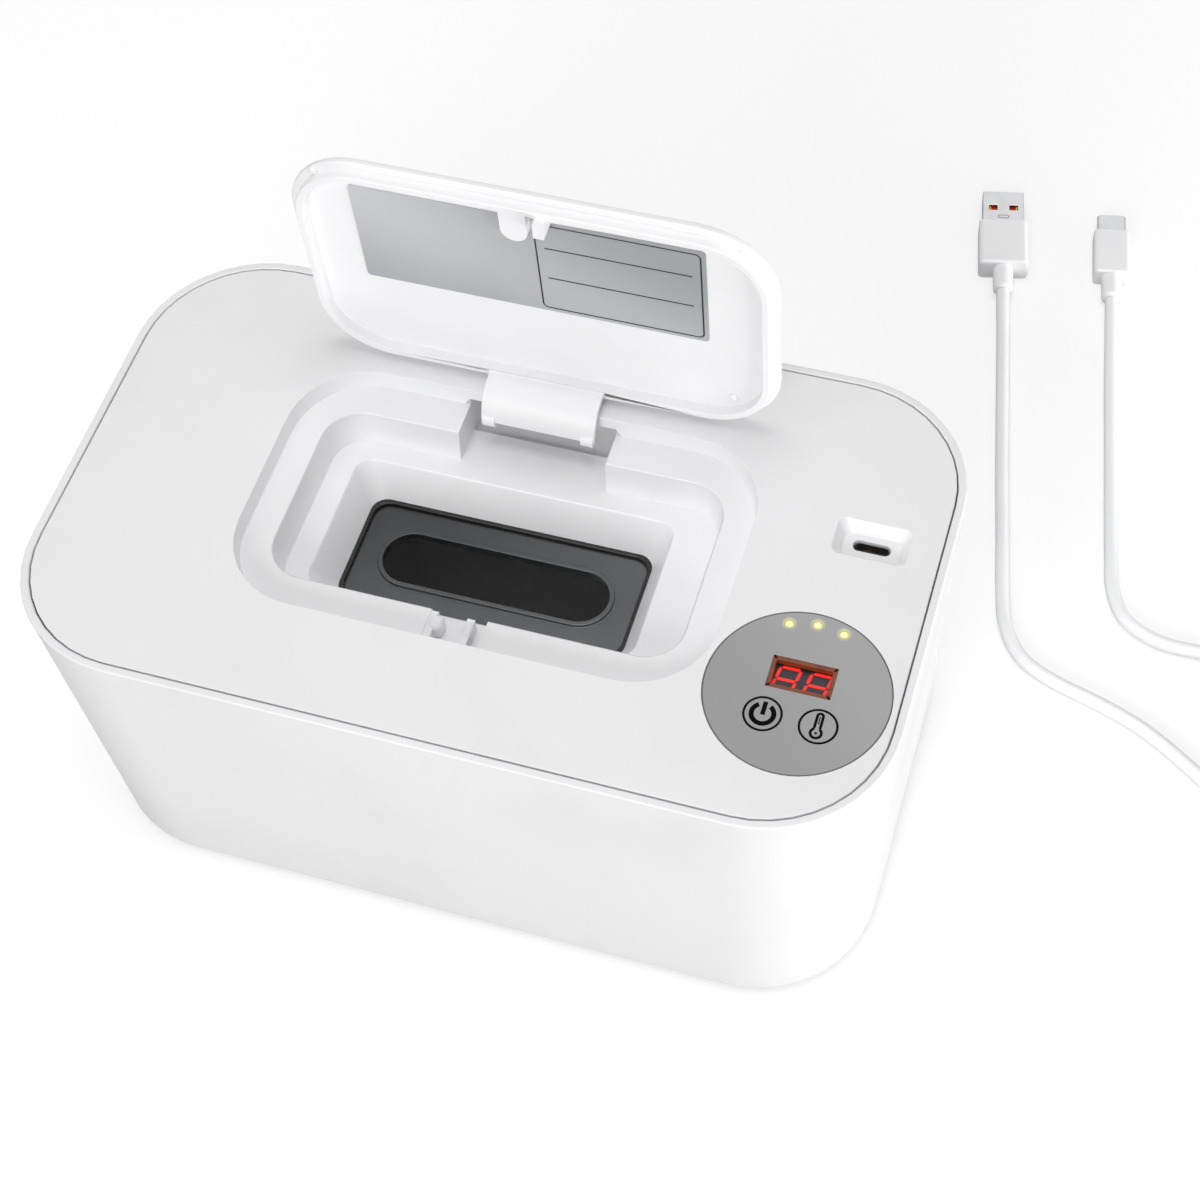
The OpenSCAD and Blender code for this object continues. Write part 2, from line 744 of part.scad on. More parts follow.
module ntc_sensor() {
    color("darkgreen")
        translate([plate_w / 2 - 7.5, 12, plate_z + 0.45]) {
            translate([-1.5, -1, 0])
                cube([3, 2, 1.2]);
            translate([0, 0, 1.2])
                sphere(r = 0.9, $fn = 24);
        }
}

module thermal_fuse() {
    color("burlywood")
        translate([plate_w / 2 - 7.5, -12, plate_z + 1.75])
            rotate([90, 0, 0]) {
                cylinder(r = 1.25, h = 8, center = true);
                cylinder(r = 0.35, h = 16, center = true);
            }
}

// ---- electronics ----

module main_pcb() {
    arc_at = [board_right - board_round, board_front + board_round];
    arc = [for (a = [-90:10:0]) arc_at + board_round * [cos(a), sin(a)]];
    color("green")
        translate([disc_at[0], disc_at[1], 0]) {
            difference() {
                translate([0, 0, board_z])
                    linear_extrude(board_t)
                        polygon(concat([[board_left, board_back], [board_left, board_front]], arc,
                            [[board_right, board_back]]));
                for (p = pcb_posts)
                    translate([p[0], p[1], board_z - 1])
                        cylinder(r = small_screw_r + 0.2, h = 4);
            }
            translate([-9, -8, board_z - 1.7])
                cube([5, 6.2, 1.8]);
            translate([-12, 8, board_z - 4.5])
                cube([7.5, 5, 4.6]);
            translate([4, 7, board_z - 5.5])
                cylinder(r = 2.5, h = 5.6);
        }
}

module pcb_screws() {
    head = 1.1;
    color("lightgray") {
        for (p = pcb_posts)
            translate([disc_at[0] + p[0], disc_at[1] + p[1], 0])
                screw(board_z - 0.02, 6, small_screw_r, small_head_r, head);
        for (p = socket_posts)
            translate([socket_at[0] + p[0], socket_at[1] + p[1], 0])
                screw(socket_top - socket_h - board_t - 0.02, 6, small_screw_r, small_head_r, head);
    }
}

module display_module() {
    bottom = board_z + board_t + 0.1;
    color("darkred")
        translate([disc_at[0] + window_at[0], disc_at[1] + window_at[1], 0])
            difference() {
                translate([-display_w / 2, -display_h / 2, bottom])
                    cube([display_w, display_h, display_z - bottom]);
                translate([-window_w / 2 + 0.5, -window_h / 2 + 0.5, display_z - 0.4])
                    cube([window_w - 1, window_h - 1, 1]);
            }
}

module status_leds() {
    bottom = board_z + board_t + 0.1;
    color("khaki")
        for (p = led_places)
            translate([disc_at[0] + p[0], disc_at[1] + p[1], 0]) {
                translate([0, 0, bottom])
                    cylinder(r = led_r, h = deck_z - 0.8 - bottom);
                translate([0, 0, deck_z - 0.8])
                    intersection() {
                        sphere(r = led_r);
                        cylinder(r = led_r, h = led_r);
                    }
            }
}

module touch_springs() {
    bottom = board_z + board_t + 0.05;
    color("silver")
        for (p = key_places)
            translate([disc_at[0] + p[0], disc_at[1] + p[1], bottom])
                difference() {
                    cylinder(r = spring_r, h = deck_z - deck_t - 0.05 - bottom);
                    translate([0, 0, -1])
                        cylinder(r = spring_r - 0.5, h = deck_z);
                }
}

module light_mask() {
    bottom = board_z + board_t + 0.3;
    top = deck_z - deck_t - 0.2;
    color("black")
        translate([disc_at[0], disc_at[1], 0])
            difference() {
                translate([-9.6, -2.6, bottom])
                    cube([19.2, 23, top - bottom]);
                for (p = led_places)
                    translate([p[0], p[1], bottom - 1])
                        cylinder(r = led_r + 0.25, h = 12);
                translate([window_at[0] - display_w / 2 - 0.2, window_at[1] - display_h / 2 - 0.2, bottom - 1])
                    cube([display_w + 0.4, display_h + 0.4, 12]);
                for (p = pcb_posts)
                    translate([p[0], p[1], bottom - 1])
                        cylinder(r = 2.5, h = 12);
            }
}

module overlay_disc() {
    color("darkgray")
        translate([disc_at[0], disc_at[1], deck_z - disc_recess + 0.02])
            difference() {
                cylinder(r = disc_r, h = disc_t, $fn = 96);
                for (p = led_places)
                    translate([p[0], p[1], -1])
                        cylinder(r = led_r + 0.1, h = 3);
                translate([window_at[0] - window_w / 2, window_at[1] - window_h / 2, -1])
                    cube([window_w, window_h, 3]);
            }
}

module usb_c_socket() {
    color("silver")
        translate([socket_at[0], socket_at[1], 0])
            difference() {
                stadium(socket_w, socket_d, socket_top - socket_h + 0.05, socket_h - 0.1);
                stadium(socket_w - 2 * socket_wall, socket_d - 2 * socket_wall, socket_top - socket_h + 2, socket_h);
            }
}

module socket_tongue() {
    color("black")
        translate([socket_at[0] - 3.3, socket_at[1] - 0.35, socket_top - socket_h + 2.02])
            cube([6.6, 0.7, socket_h - 3.2]);
}

module socket_board() {
    color("green")
        difference() {
            slab(socket_board_w, socket_board_d, 1, socket_top - socket_h - board_t, board_t - 0.02, socket_at);
            for (p = socket_posts)
                translate([socket_at[0] + p[0], socket_at[1] + p[1], 0])
                    translate([0, 0, socket_top - socket_h - board_t - 1])
                        cylinder(r = small_screw_r + 0.2, h = 4);
        }
}

module wire_harness() {
    power_z = socket_top - socket_h - board_t - 1.2;
    heater_x = plate_w / 2 - 3.8;
    board_end = disc_at + [4, board_back - 6];
    heater_start = disc_at + [-8, -11];
    color("crimson")
        for (s = [-1, 1]) {
            tube(smooth([
                [socket_at[0] + 2 * s, socket_at[1] - 3, power_z],
                [socket_at[0] - 3.6 + 2 * s, socket_at[1] - 9, power_z - 2.2],
                [board_end[0] - 2.4 + 2 * s, board_end[1] + 10, board_z - 5],
                [board_end[0] + 2 * s, board_end[1], board_z - 1.2]
            ], 3), 0.7, 6);
            tube(smooth([
                [heater_start[0] + 2 * s, heater_start[1], board_z - 1.2],
                [heater_start[0] + 2 * s, heater_start[1] + 5, board_z - 4],
                [heater_x + 1.2 * s, -14, plate_z + 4],
                [heater_x + 1.2 * s, -6, plate_z + 1.2]
            ], 3), 0.7, 6);
        }
}

// ---- lid, drawn closed and swung open ----

module lid_shell() {
    x_left = neck_x - neck_w / 2;
    knob = [arm_reach * cos(neck_to), arm_reach * sin(neck_to)];
    lip_w = lid_w - 2 * lip_inset;
    lip_d = lid_d - 2 * lip_inset;
    lip_r = lid_r - lip_inset;
    inside_z = deck_z - lid_t;
    color("white")
        lid_at_rest()
            difference() {
                union() {
                    difference() {
                        loft([
                            [lid_w - 0.6, lid_d - 0.6, lid_r - 0.3, inside_z],
                            [lid_w, lid_d, lid_r, inside_z + 0.3],
                            [lid_w, lid_d, lid_r, deck_z - 0.6],
                            [lid_w - 0.4, lid_d - 0.4, lid_r - 0.2, deck_z - 0.15],
                            [lid_w - 1.4, lid_d - 1.4, lid_r - 0.7, deck_z]
                        ], lid_at);
                        on_pin(0)
                            cylinder(r = 6.95, h = 140, center = true);
                    }
                    frame_ring(lip_w, lip_d, lip_r, lip_t, lip_z, inside_z - lip_z + eps, lid_at);
                    on_pin(x_left)
                        rotate(neck_from)
                            rotate_extrude(angle = neck_to - neck_from)
                                translate([neck_r - neck_t, 0])
                                    square([neck_t, neck_w]);
                    for (x = [x_left + arm_inset, x_left + neck_w - arm_inset - arm_t])
                        on_pin(x) {
                            cylinder(r = arm_r, h = arm_t);
                            translate([knob[0], knob[1], 0])
                                cylinder(r = arm_r, h = arm_t);
                            rotate(neck_to)
                                translate([0, -arm_web / 2, 0])
                                    cube([arm_reach, arm_web, arm_t]);
                        }
                    translate([tongue_x - tongue_w / 2, lid_front + 3, inside_z - 2.4])
                        cube([tongue_w, tongue_end - tongue_w / 2 - lid_front - 3, 2.4 + eps]);
                    translate([tongue_x, tongue_end - tongue_w / 2, inside_z - 2.4])
                        cylinder(r = tongue_w / 2, h = 2.4 + eps);
                    translate([latch_x - latch_w / 2, lid_front + 3, inside_z - 5])
                        cube([latch_w, 4.2, 5 + eps]);
                }
                on_pin(x_left - 1)
                    cylinder(r = pin_r + pin_play, h = neck_w + 2);
            }
}

module lid_label() {
    inside_z = deck_z - lid_t;
    color("silver")
        lid_at_rest()
            difference() {
                slab(label_w, label_d, 1, inside_z - label_t - 0.03, label_t, label_at);
                translate([tongue_x, tongue_end - tongue_w / 2, inside_z - 2])
                    cylinder(r = tongue_w / 2 + 0.3, h = 3);
                translate([tongue_x - tongue_w / 2 - 0.3, -30, inside_z - 2])
                    cube([tongue_w + 0.6, 30 + tongue_end - tongue_w / 2, 3]);
                translate([latch_x - latch_w / 2 - 0.3, -30, inside_z - 2])
                    cube([latch_w + 0.6, 5.2, 3]);
            }
}

// ---- lead ----

// A plug lies along X from its tip, turned and moved to its place
module plug_frame(tip, turn, z) {
    translate([tip[0], tip[1], z])
        rotate(turn)
            children();
}

// Box with rounded long edges, along X
module plug_body(from, l, w, t, r) {
    translate([from, 0, 0])
        rotate([90, 0, 90])
            linear_extrude(l)
                polygon(rounded(w, t, r));
}

module relief(from, tip, turn, z) {
    color("gainsboro")
        plug_frame(tip, turn, z)
            translate([from + plug_body_l + 0.02, 0, 0])
                rotate([0, 90, 0])
                    rotate_extrude()
                        polygon([[0, 0], [relief_r, 0], [relief_r, relief_l - 0.7], [relief_r - 0.6, relief_l - 0.05],
                            [0, relief_l - 0.05]]);
}

module usb_a_shell() {
    color("silver")
        plug_frame(plug_a_tip, plug_a_turn, plug_a_z)
            difference() {
                plug_body(0, plug_a_shell_l - 0.02, 12, 4.5, 0.4);
                plug_body(-1, plug_a_shell_l + 2, 11.4, 3.9, 0.2);
                for (s = [-1, 1])
                    translate([5.3, s * 3 - 1.25, 1])
                        cube([2, 2.5, 3]);
            }
}

module usb_a_insert() {
    color("orangered")
        plug_frame(plug_a_tip, plug_a_turn, plug_a_z)
            plug_body(1, plug_a_shell_l - 1.05, 11.2, 1.8, 0.2);
}

module usb_a_overmould() {
    color("white")
        plug_frame(plug_a_tip, plug_a_turn, plug_a_z)
            plug_body(plug_a_shell_l, plug_body_l, 14.2, 2 * plug_a_z, 1.5);
}

module usb_a_relief() {
    relief(plug_a_shell_l, plug_a_tip, plug_a_turn, plug_a_z);
}

module usb_c_plug_shell() {
    color("silver")
        plug_frame(plug_c_tip, plug_c_turn, plug_c_z)
            difference() {
                plug_body(0, plug_c_shell_l - 0.02, 8.25, 2.4, 1.15);
                plug_body(-1, plug_c_shell_l + 2, 7.65, 1.8, 0.85);
            }
}

module usb_c_plug_insert() {
    color("black")
        plug_frame(plug_c_tip, plug_c_turn, plug_c_z)
            difference() {
                plug_body(0.4, plug_c_shell_l - 0.45, 7.5, 1.65, 0.8);
                plug_body(-1, plug_c_shell_l - 1, 6.7, 0.75, 0.3);
            }
}

module usb_c_overmould() {
    color("white")
        plug_frame(plug_c_tip, plug_c_turn, plug_c_z)
            plug_body(plug_c_shell_l, plug_body_l, 10.5, 2 * plug_c_z, 1.5);
}

module usb_c_relief() {
    relief(plug_c_shell_l, plug_c_tip, plug_c_turn, plug_c_z);
}

module lead_run_a() {
    color("white")
        tube(smooth(route_a, 2), cord_r, 8);
}

module lead_run_c() {
    color("white")
        tube(smooth(route_c, 2), cord_r, 8);
}

module lead_coil() {
    color("white")
        tube(concat([coil_start_lead()], coil_line(coil_steps), [coil_end_lead()]), cord_r, 6);
}

module coil_tie() {
    inner = coil_r - coil_pitch * coil_turns / 2;
    radial = coil_r - inner + cord_d + 1.6;
    middle = (coil_r + inner) / 2;
    height = coil_top_z + cord_r + 0.3;
    color("white")
        translate([coil_at[0] + middle, coil_at[1], 0])
            difference() {
                translate([-radial / 2, -2, 0])
                    cube([radial, 4, height + 0.6]);
                translate([-radial / 2 + 0.6, -3, 0.6])
                    cube([radial - 1.2, 6, height - 0.6]);
            }
}

// Least gap between the coil's turns and the lengths of the lead, for the record
fine = coil_line(48);
least_gap = min([
    for (i = [0:len(fine) - 1], j = [i + 24:1:len(fine) - 1])
        norm(fine[i] - fine[j])
]) - cord_d;
echo(least_gap_of_coil = least_gap);
echo(length_run_a = line_length(smooth(route_a, 8)));
echo(length_run_c = line_length(smooth(route_c, 8)));
echo(length_coil = line_length(coil_line(24)) + 2 * cord_d);

outer_shell();
inner_tub();
feet();
base_screws();
top_cover();
cover_bottom();
cover_screws();
hinge_pin();
heater_plate();
heating_film();
heater_gasket();
insulation_foam();
ntc_sensor();
thermal_fuse();
main_pcb();
pcb_screws();
display_module();
status_leds();
touch_springs();
light_mask();
overlay_disc();
usb_c_socket();
socket_tongue();
socket_board();
wire_harness();
lid_shell();
lid_label();
usb_a_shell();
usb_a_insert();
usb_a_overmould();
usb_a_relief();
usb_c_plug_shell();
usb_c_plug_insert();
usb_c_overmould();
usb_c_relief();
lead_run_a();
lead_run_c();
lead_coil();
coil_tie();
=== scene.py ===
from math import cos, hypot, pi, radians, sin

import bmesh
import bpy
from mathutils import Matrix, Vector


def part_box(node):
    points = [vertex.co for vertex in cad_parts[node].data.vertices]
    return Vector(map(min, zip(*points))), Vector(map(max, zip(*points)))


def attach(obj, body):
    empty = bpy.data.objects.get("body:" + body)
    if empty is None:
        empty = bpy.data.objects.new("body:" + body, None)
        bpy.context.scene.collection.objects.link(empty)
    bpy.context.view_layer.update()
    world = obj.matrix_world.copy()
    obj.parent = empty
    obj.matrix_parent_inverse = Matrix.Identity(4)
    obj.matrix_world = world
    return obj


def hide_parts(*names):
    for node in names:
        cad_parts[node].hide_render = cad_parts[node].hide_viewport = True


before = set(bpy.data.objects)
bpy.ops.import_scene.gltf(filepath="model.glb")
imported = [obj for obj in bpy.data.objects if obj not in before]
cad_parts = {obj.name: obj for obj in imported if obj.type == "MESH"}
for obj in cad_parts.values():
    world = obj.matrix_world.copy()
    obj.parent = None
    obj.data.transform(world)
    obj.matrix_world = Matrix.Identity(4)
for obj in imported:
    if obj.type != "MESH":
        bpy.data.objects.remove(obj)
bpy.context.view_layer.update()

# ---- Camera ----
# A photographer's view from the front right corner, well above the cover, with the
# camera tipped a little clockwise. It is set from the measured photo.
view_data = bpy.data.cameras.new("camera")
view_data.sensor_width = 36
view_data.lens = 67.708
camera = bpy.data.objects.new("camera", view_data)
bpy.context.collection.objects.link(camera)
camera.matrix_world = (
    Matrix.Translation((0.1342, -0.26915, 0.50868))
    @ Matrix.Rotation(radians(22.267), 4, "Z")
    @ Matrix.Rotation(radians(90 - 56.631), 4, "X")
    @ Matrix.Rotation(radians(-6.12), 4, "Z")
)
bpy.context.scene.camera = camera

# ---- Lead ----
# The white charging lead, 0.985 m of round 3.8 mm cable with a soft smooth jacket. It lies
# on the floor from plug to plug, with its middle wound in a flat two-layer coil.
MM = 0.001
CORD_D = 3.8


def linear(r, g, b):
    """A colour as a screen shows it, from 0 to 255, for a shader's input."""
    return tuple(((c / 255 + 0.055) / 1.055) ** 2.4 for c in (r, g, b)) + (1.0,)


class Value:
    """A number that varies over a surface. Sums and products of it add their own nodes."""

    def __init__(self, finish, socket):
        self.finish = finish
        self.socket = socket

    def math(self, kind, *others):
        node = self.finish.node("ShaderNodeMath", operation=kind)
        for slot, item in enumerate((self, *others)):
            self.finish.feed(node.inputs[slot], item)
        return Value(self.finish, node.outputs[0])

    def __add__(self, other):
        return self.math("ADD", other)

    def __radd__(self, other):
        return self.math("ADD", other)

    def __sub__(self, other):
        return self.math("SUBTRACT", other)

    def __rsub__(self, other):
        node = self.finish.node("ShaderNodeMath", operation="SUBTRACT")
        self.finish.feed(node.inputs[0], other)
        self.finish.feed(node.inputs[1], self)
        return Value(self.finish, node.outputs[0])

    def __mul__(self, other):
        return self.math("MULTIPLY", other)

    def __rmul__(self, other):
        return self.math("MULTIPLY", other)

    def root(self):
        return self.math("SQRT")

    def size(self):
        return self.math("ABSOLUTE")

    def over(self, low):
        """How far the number is above low, and 0 below it."""
        return (self - low).math("MAXIMUM", 0)

    def ramp(self, low, high):
        """0 up to low and 1 from high on, with a soft step between them."""
        node = self.finish.node(
            "ShaderNodeMapRange",
            {"Value": self, "From Min": low, "From Max": high},
            interpolation_type="SMOOTHSTEP",
        )
        return Value(self.finish, node.outputs["Result"])


class Finish:
    """One material, with its surface shader and the pattern that varies over it."""

    def __init__(self, name, colour, roughness):
        self.material = bpy.data.materials.new(name)
        self.material.use_nodes = True
        self.tree = self.material.node_tree
        self.surface = self.tree.nodes["Principled BSDF"]
        self.colour = linear(*colour)
        self.set("Base Color", self.colour)
        self.set("Roughness", roughness)

    def node(self, kind, feeds=None, **settings):
        made = self.tree.nodes.new(kind)
        for key, item in settings.items():
            setattr(made, key, item)
        for key, item in (feeds or {}).items():
            self.feed(made.inputs[key], item)
        return made

    def feed(self, socket, item):
        if isinstance(item, Value):
            self.tree.links.new(item.socket, socket)
        elif isinstance(item, bpy.types.NodeSocket):
            self.tree.links.new(item, socket)
        else:
            socket.default_value = item

    def set(self, name, item):
        self.feed(self.surface.inputs[name], item)

    def glow(self, colour, strength=1.0):
        self.set("Emission Color", colour)
        self.set("Emission Strength", strength)

    def where(self):
        """The place on the piece as x, y and z in millimetres."""
        spot = self.node("ShaderNodeTexCoord").outputs["Object"]
        parts = self.node("ShaderNodeSeparateXYZ", {0: spot})
        return [Value(self, out) * (1 / MM) for out in parts.outputs]

    def noise(self, size, detail=2.0, stretch=(1, 1, 1)):
        """Cloudy noise from 0 to 1 whose cells are about size millimetres."""
        spot = self.node("ShaderNodeTexCoord").outputs["Object"]
        scaled = self.node("ShaderNodeMapping", {"Vector": spot, "Scale": stretch})
        made = self.node(
            "ShaderNodeTexNoise",
            {"Vector": scaled.outputs[0], "Scale": 1 / (size * MM), "Detail": detail},
        )
        return Value(self, made.outputs[0])

    def mix(self, first, second, share):
        node = self.node("ShaderNodeMix", data_type="RGBA")
        self.feed(node.inputs[0], share)
        self.feed(node.inputs[6], first)
        self.feed(node.inputs[7], second)
        return node.outputs[2]

    def relief(self, height, depth):
        """Raises the surface by height times depth, in millimetres."""
        bump = self.node("ShaderNodeBump", {"Height": height, "Distance": depth * MM})
        self.set("Normal", bump.outputs[0])

    def moulded(self, dark, patch=30, grain=0.35, depth=0.004, rough=(0.3, 0.4)):
        """Moulded plastic: faint cloudy shade, a fine grain and slightly uneven gloss."""
        cloud = self.noise(patch, 3)
        self.set("Base Color", self.mix(linear(*dark), self.colour, cloud.ramp(0.25, 0.6)))
        speck = self.noise(grain, 2)
        self.set("Roughness", self.noise(patch / 3, 2) * (rough[1] - rough[0]) + rough[0])
        self.relief(speck, depth)
        return self


def put(obj, finish):
    """Gives every face of a piece one finish."""
    mats = obj.data.materials
    if not len(mats):
        mats.append(finish.material)
    for slot in range(len(mats)):
        mats[slot] = finish.material


def smoothed(points, steps):
    """The smooth line through a route's points that the frame's solids follow."""
    p = [Vector(q) for q in points]
    p = [2 * p[0] - p[1], *p, 2 * p[-1] - p[-2]]
    line = []
    for a, b, c, d in zip(p, p[1:], p[2:], p[3:]):
        for k in range(steps):
            t = k / steps
            line.append(
                0.5
                * (
                    2 * b
                    + (c - a) * t
                    + (2 * a - 5 * b + 4 * c - d) * t * t
                    + (3 * b - a - 3 * c + d) * t * t * t
                )
            )
    line.append(p[-2])
    return line


def curve_piece(name, lines, thickness, body, finish):
    """Round cord or wire with closed ends along one or more lines, in millimetres."""
    data = bpy.data.curves.new(name, "CURVE")
    data.dimensions = "3D"
    data.bevel_depth = thickness / 2 * MM
    data.bevel_resolution = 5
    data.use_fill_caps = True
    for line in lines:
        spline = data.splines.new("POLY")
        spline.points.add(len(line) - 1)
        for point, spot in zip(spline.points, line):
            point.co = (*(Vector(spot) * MM), 1)
    data.splines.foreach_set("use_smooth", [True] * len(data.splines))
    obj = bpy.data.objects.new(name, data)
    bpy.context.collection.objects.link(obj)
    put(obj, finish)
    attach(obj, body)
    return obj


def plug_spot(tip, turn, along, height):
    """A place on a plug's axis, along millimetres behind its tip."""
    return (tip[0] + along * cos(radians(turn)), tip[1] + along * sin(radians(turn)), height)


PLUG_A = ((82.4, 207.4), -78.3)
PLUG_C = ((114.9, 207.5), -79.8)
PLUG_A_Z = 3.8
PLUG_C_Z = 3.1
GRIP_L = 16.6
SLEEVE_L = 8.3
END_A = 12.15 + GRIP_L + SLEEVE_L
END_C = 7 + GRIP_L + SLEEVE_L
BEHIND = 5
FLAT = CORD_D / 2
COIL_AT = (202, 40)
COIL_TURNS = 4.5
COIL_STEPS = 48
COIL_R = 26
COIL_PITCH = CORD_D + 0.5
COIL_LOW = FLAT + 0.8
route_a = [
    plug_spot(*PLUG_A, END_A, PLUG_A_Z),
    plug_spot(*PLUG_A, END_A + BEHIND, 3.4),
    (93, 157, 2), (95, 147, FLAT), (99, 127, FLAT), (103, 107, FLAT), (107, 88, FLAT),
    (110.5, 71, FLAT), (113.5, 60, FLAT), (119.5, 51, FLAT), (129, 46, FLAT),
    (141, 42.5, FLAT), (153, 38, FLAT), (164, 31.5, FLAT), (175, 24, FLAT),
    (186, 17.5, FLAT), (198.2, 14, COIL_LOW),
]
route_c = [
    plug_spot(*PLUG_C, END_C, PLUG_C_Z),
    plug_spot(*PLUG_C, END_C + BEHIND, 2.8),
    (123.8, 158, 2), (125.7, 147, FLAT), (129.3, 127, FLAT), (132.9, 107, FLAT),
    (136.2, 89, FLAT), (138.6, 78, FLAT), (143.5, 69.5, FLAT), (152.5, 65, FLAT),
    (163, 64.5, FLAT), (175, 65.3, 2.6), (186, 65.9, 4.6), (198.2, 66, COIL_LOW + COIL_PITCH),
]
coil = []
for step in range(int(COIL_TURNS * COIL_STEPS) + 1):
    turns = step / COIL_STEPS
    r = COIL_R - COIL_PITCH * min(turns, COIL_TURNS - turns)
    angle = radians(360 * turns - 90)
    climb = min(1, max(0, 2 * (turns - COIL_TURNS / 2) + 0.5))
    height = COIL_LOW + COIL_PITCH * climb * climb * (3 - 2 * climb)
    coil.append(Vector((COIL_AT[0] + r * cos(angle), COIL_AT[1] + r * sin(angle), height)))
ROUTE_STEPS = 6
cord_line = smoothed(route_a, ROUTE_STEPS) + coil + smoothed(route_c, ROUTE_STEPS)[::-1]
cord_length = sum((b - a).length for a, b in zip(cord_line, cord_line[1:])) * MM

jacket = Finish("lead_jacket", (252, 252, 253), 0.4)
jacket.set("Coat Weight", 0.1)
jacket.moulded((246, 247, 248), 25, 0.5, 0.006, (0.36, 0.46))
lead = curve_piece("lead", [cord_line], CORD_D, "base", jacket)
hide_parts("lead_run_a", "lead_run_c", "lead_coil")

# ---- Studio ----
# A white paper floor that runs into a white surround, with a large soft light above and one
# in front for the lid. A low strip on the right lights the wall without reaching the basin.


def soft_box(name, place, size, power, aim=(0.0, 0.0, 0.05)):
    data = bpy.data.lights.new(name, "AREA")
    data.shape = "RECTANGLE"
    data.size = size[0]
    data.size_y = size[1]
    data.energy = power
    light = bpy.data.objects.new(name, data)
    light.location = place
    light.rotation_euler = (Vector(aim) - Vector(place)).to_track_quat("-Z", "Y").to_euler()
    bpy.context.collection.objects.link(light)


soft_box("top", (0.0, 0.1, 1.5), (0.7, 0.7), 6.3)
soft_box("front", (-0.1, -1.15, 0.62), (0.7, 0.5), 7.1)
soft_box("right_low", (0.75, -0.1, 0.042), (0.9, 0.07), 4.1, (0, 0, 0.042))

bpy.context.scene.view_settings.view_transform = "Standard"
world = bpy.data.worlds.new("surround")
bpy.context.scene.world = world
world.use_nodes = True
tree = world.node_tree
ray = tree.nodes.new("ShaderNodeLightPath")
whitest = ray.outputs["Is Camera Ray"]
for sight, strength in (("Is Glossy Ray", 0.75), ("Is Transmission Ray", 1)):
    dimmed = tree.nodes.new("ShaderNodeMath")
    dimmed.operation = "MULTIPLY"
    dimmed.inputs[1].default_value = strength
    tree.links.new(ray.outputs[sight], dimmed.inputs[0])
    brighter = tree.nodes.new("ShaderNodeMath")
    brighter.operation = "MAXIMUM"
    tree.links.new(whitest, brighter.inputs[0])
    tree.links.new(dimmed.outputs[0], brighter.inputs[1])
    whitest = brighter.outputs[0]
AMBIENT = (0.44, 0.44, 0.442, 1)
WHITE = (1, 1, 1, 1)
BLACK = (0, 0, 0, 1)
shade = tree.nodes.new("ShaderNodeMix")
shade.data_type = "RGBA"
shade.inputs[6].default_value = AMBIENT
shade.inputs[7].default_value = WHITE
tree.links.new(whitest, shade.inputs[0])
tree.links.new(shade.outputs[2], tree.nodes["Background"].inputs["Color"])

floor_mesh = bmesh.new()
bmesh.ops.create_grid(floor_mesh, x_segments=1, y_segments=1, size=4)
floor_data = bpy.data.meshes.new("floor")
floor_mesh.to_mesh(floor_data)
floor_mesh.free()
floor = bpy.data.objects.new("floor", floor_data)
bpy.context.collection.objects.link(floor)
paper = Finish("white_paper", (196, 196, 196), 0.9)
paper.set("Specular IOR Level", 0.1)
lift = paper.node("ShaderNodeLightPath")
paper.glow(paper.mix(BLACK, (0.53, 0.53, 0.53, 1), lift.outputs["Is Camera Ray"]))
put(floor, paper)

# ---- Outer shell ----
# The white tub-shaped shell with its open rim, in ABS with a fine matt grain. Moulded in
# one piece with a slight draft.
SAME_SPOT = 0.002 * MM
FLAT_ANGLE = radians(0.4)
SHARP_ANGLE = radians(40)


def from_frame(node):
    """A frame solid's mesh with its corners joined and its flat faces made whole."""
    mesh = bmesh.new()
    mesh.from_mesh(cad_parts[node].data)
    bmesh.ops.remove_doubles(mesh, verts=mesh.verts, dist=SAME_SPOT)
    bmesh.ops.dissolve_limit(
        mesh, angle_limit=FLAT_ANGLE, verts=mesh.verts, edges=mesh.edges
    )
    bmesh.ops.recalc_face_normals(mesh, faces=mesh.faces)
    return mesh


def piece(name, mesh, body, finish, nodes=(), edge=0.0):
    """Makes a piece from a mesh, softens its sharp edges and hides the frame parts it stands in
    for.
    """
    for face in mesh.faces:
        face.smooth = True
    for line in mesh.edges:
        line.smooth = len(line.link_faces) == 2 and line.calc_face_angle(pi) < SHARP_ANGLE
    data = bpy.data.meshes.new(name)
    mesh.to_mesh(data)
    mesh.free()
    obj = bpy.data.objects.new(name, data)
    bpy.context.collection.objects.link(obj)
    if edge:
        soft = obj.modifiers.new("soft edges", "BEVEL")
        soft.width = edge * MM
        soft.segments = 3
        soft.limit_method = "ANGLE"
        soft.angle_limit = SHARP_ANGLE
        soft.harden_normals = True
        soft.use_clamp_overlap = True
    even = obj.modifiers.new("even shading", "WEIGHTED_NORMAL")
    even.keep_sharp = True
    put(obj, finish)
    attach(obj, body)
    if nodes:
        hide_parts(*nodes)
    return obj


def round_edges(mesh, wanted, width, steps=4):
    """Rounds the edges of a mesh that wanted(edge) picks, width in millimetres."""
    chosen = [line for line in mesh.edges if wanted(line)]
    bmesh.ops.bevel(
        mesh,
        geom=chosen,
        offset=width * MM,
        segments=steps,
        profile=0.5,
        affect="EDGES",
        material=-1,
        clamp_overlap=True,
    )


shell_plastic = Finish("shell_plastic", (240, 240, 241), 0.38)
shell_plastic.moulded((234, 234, 235), 45, 0.3, 0.006, (0.36, 0.46))
piece("shell", from_frame("outer_shell"), "base", shell_plastic,
      ["outer_shell"], 0.15)

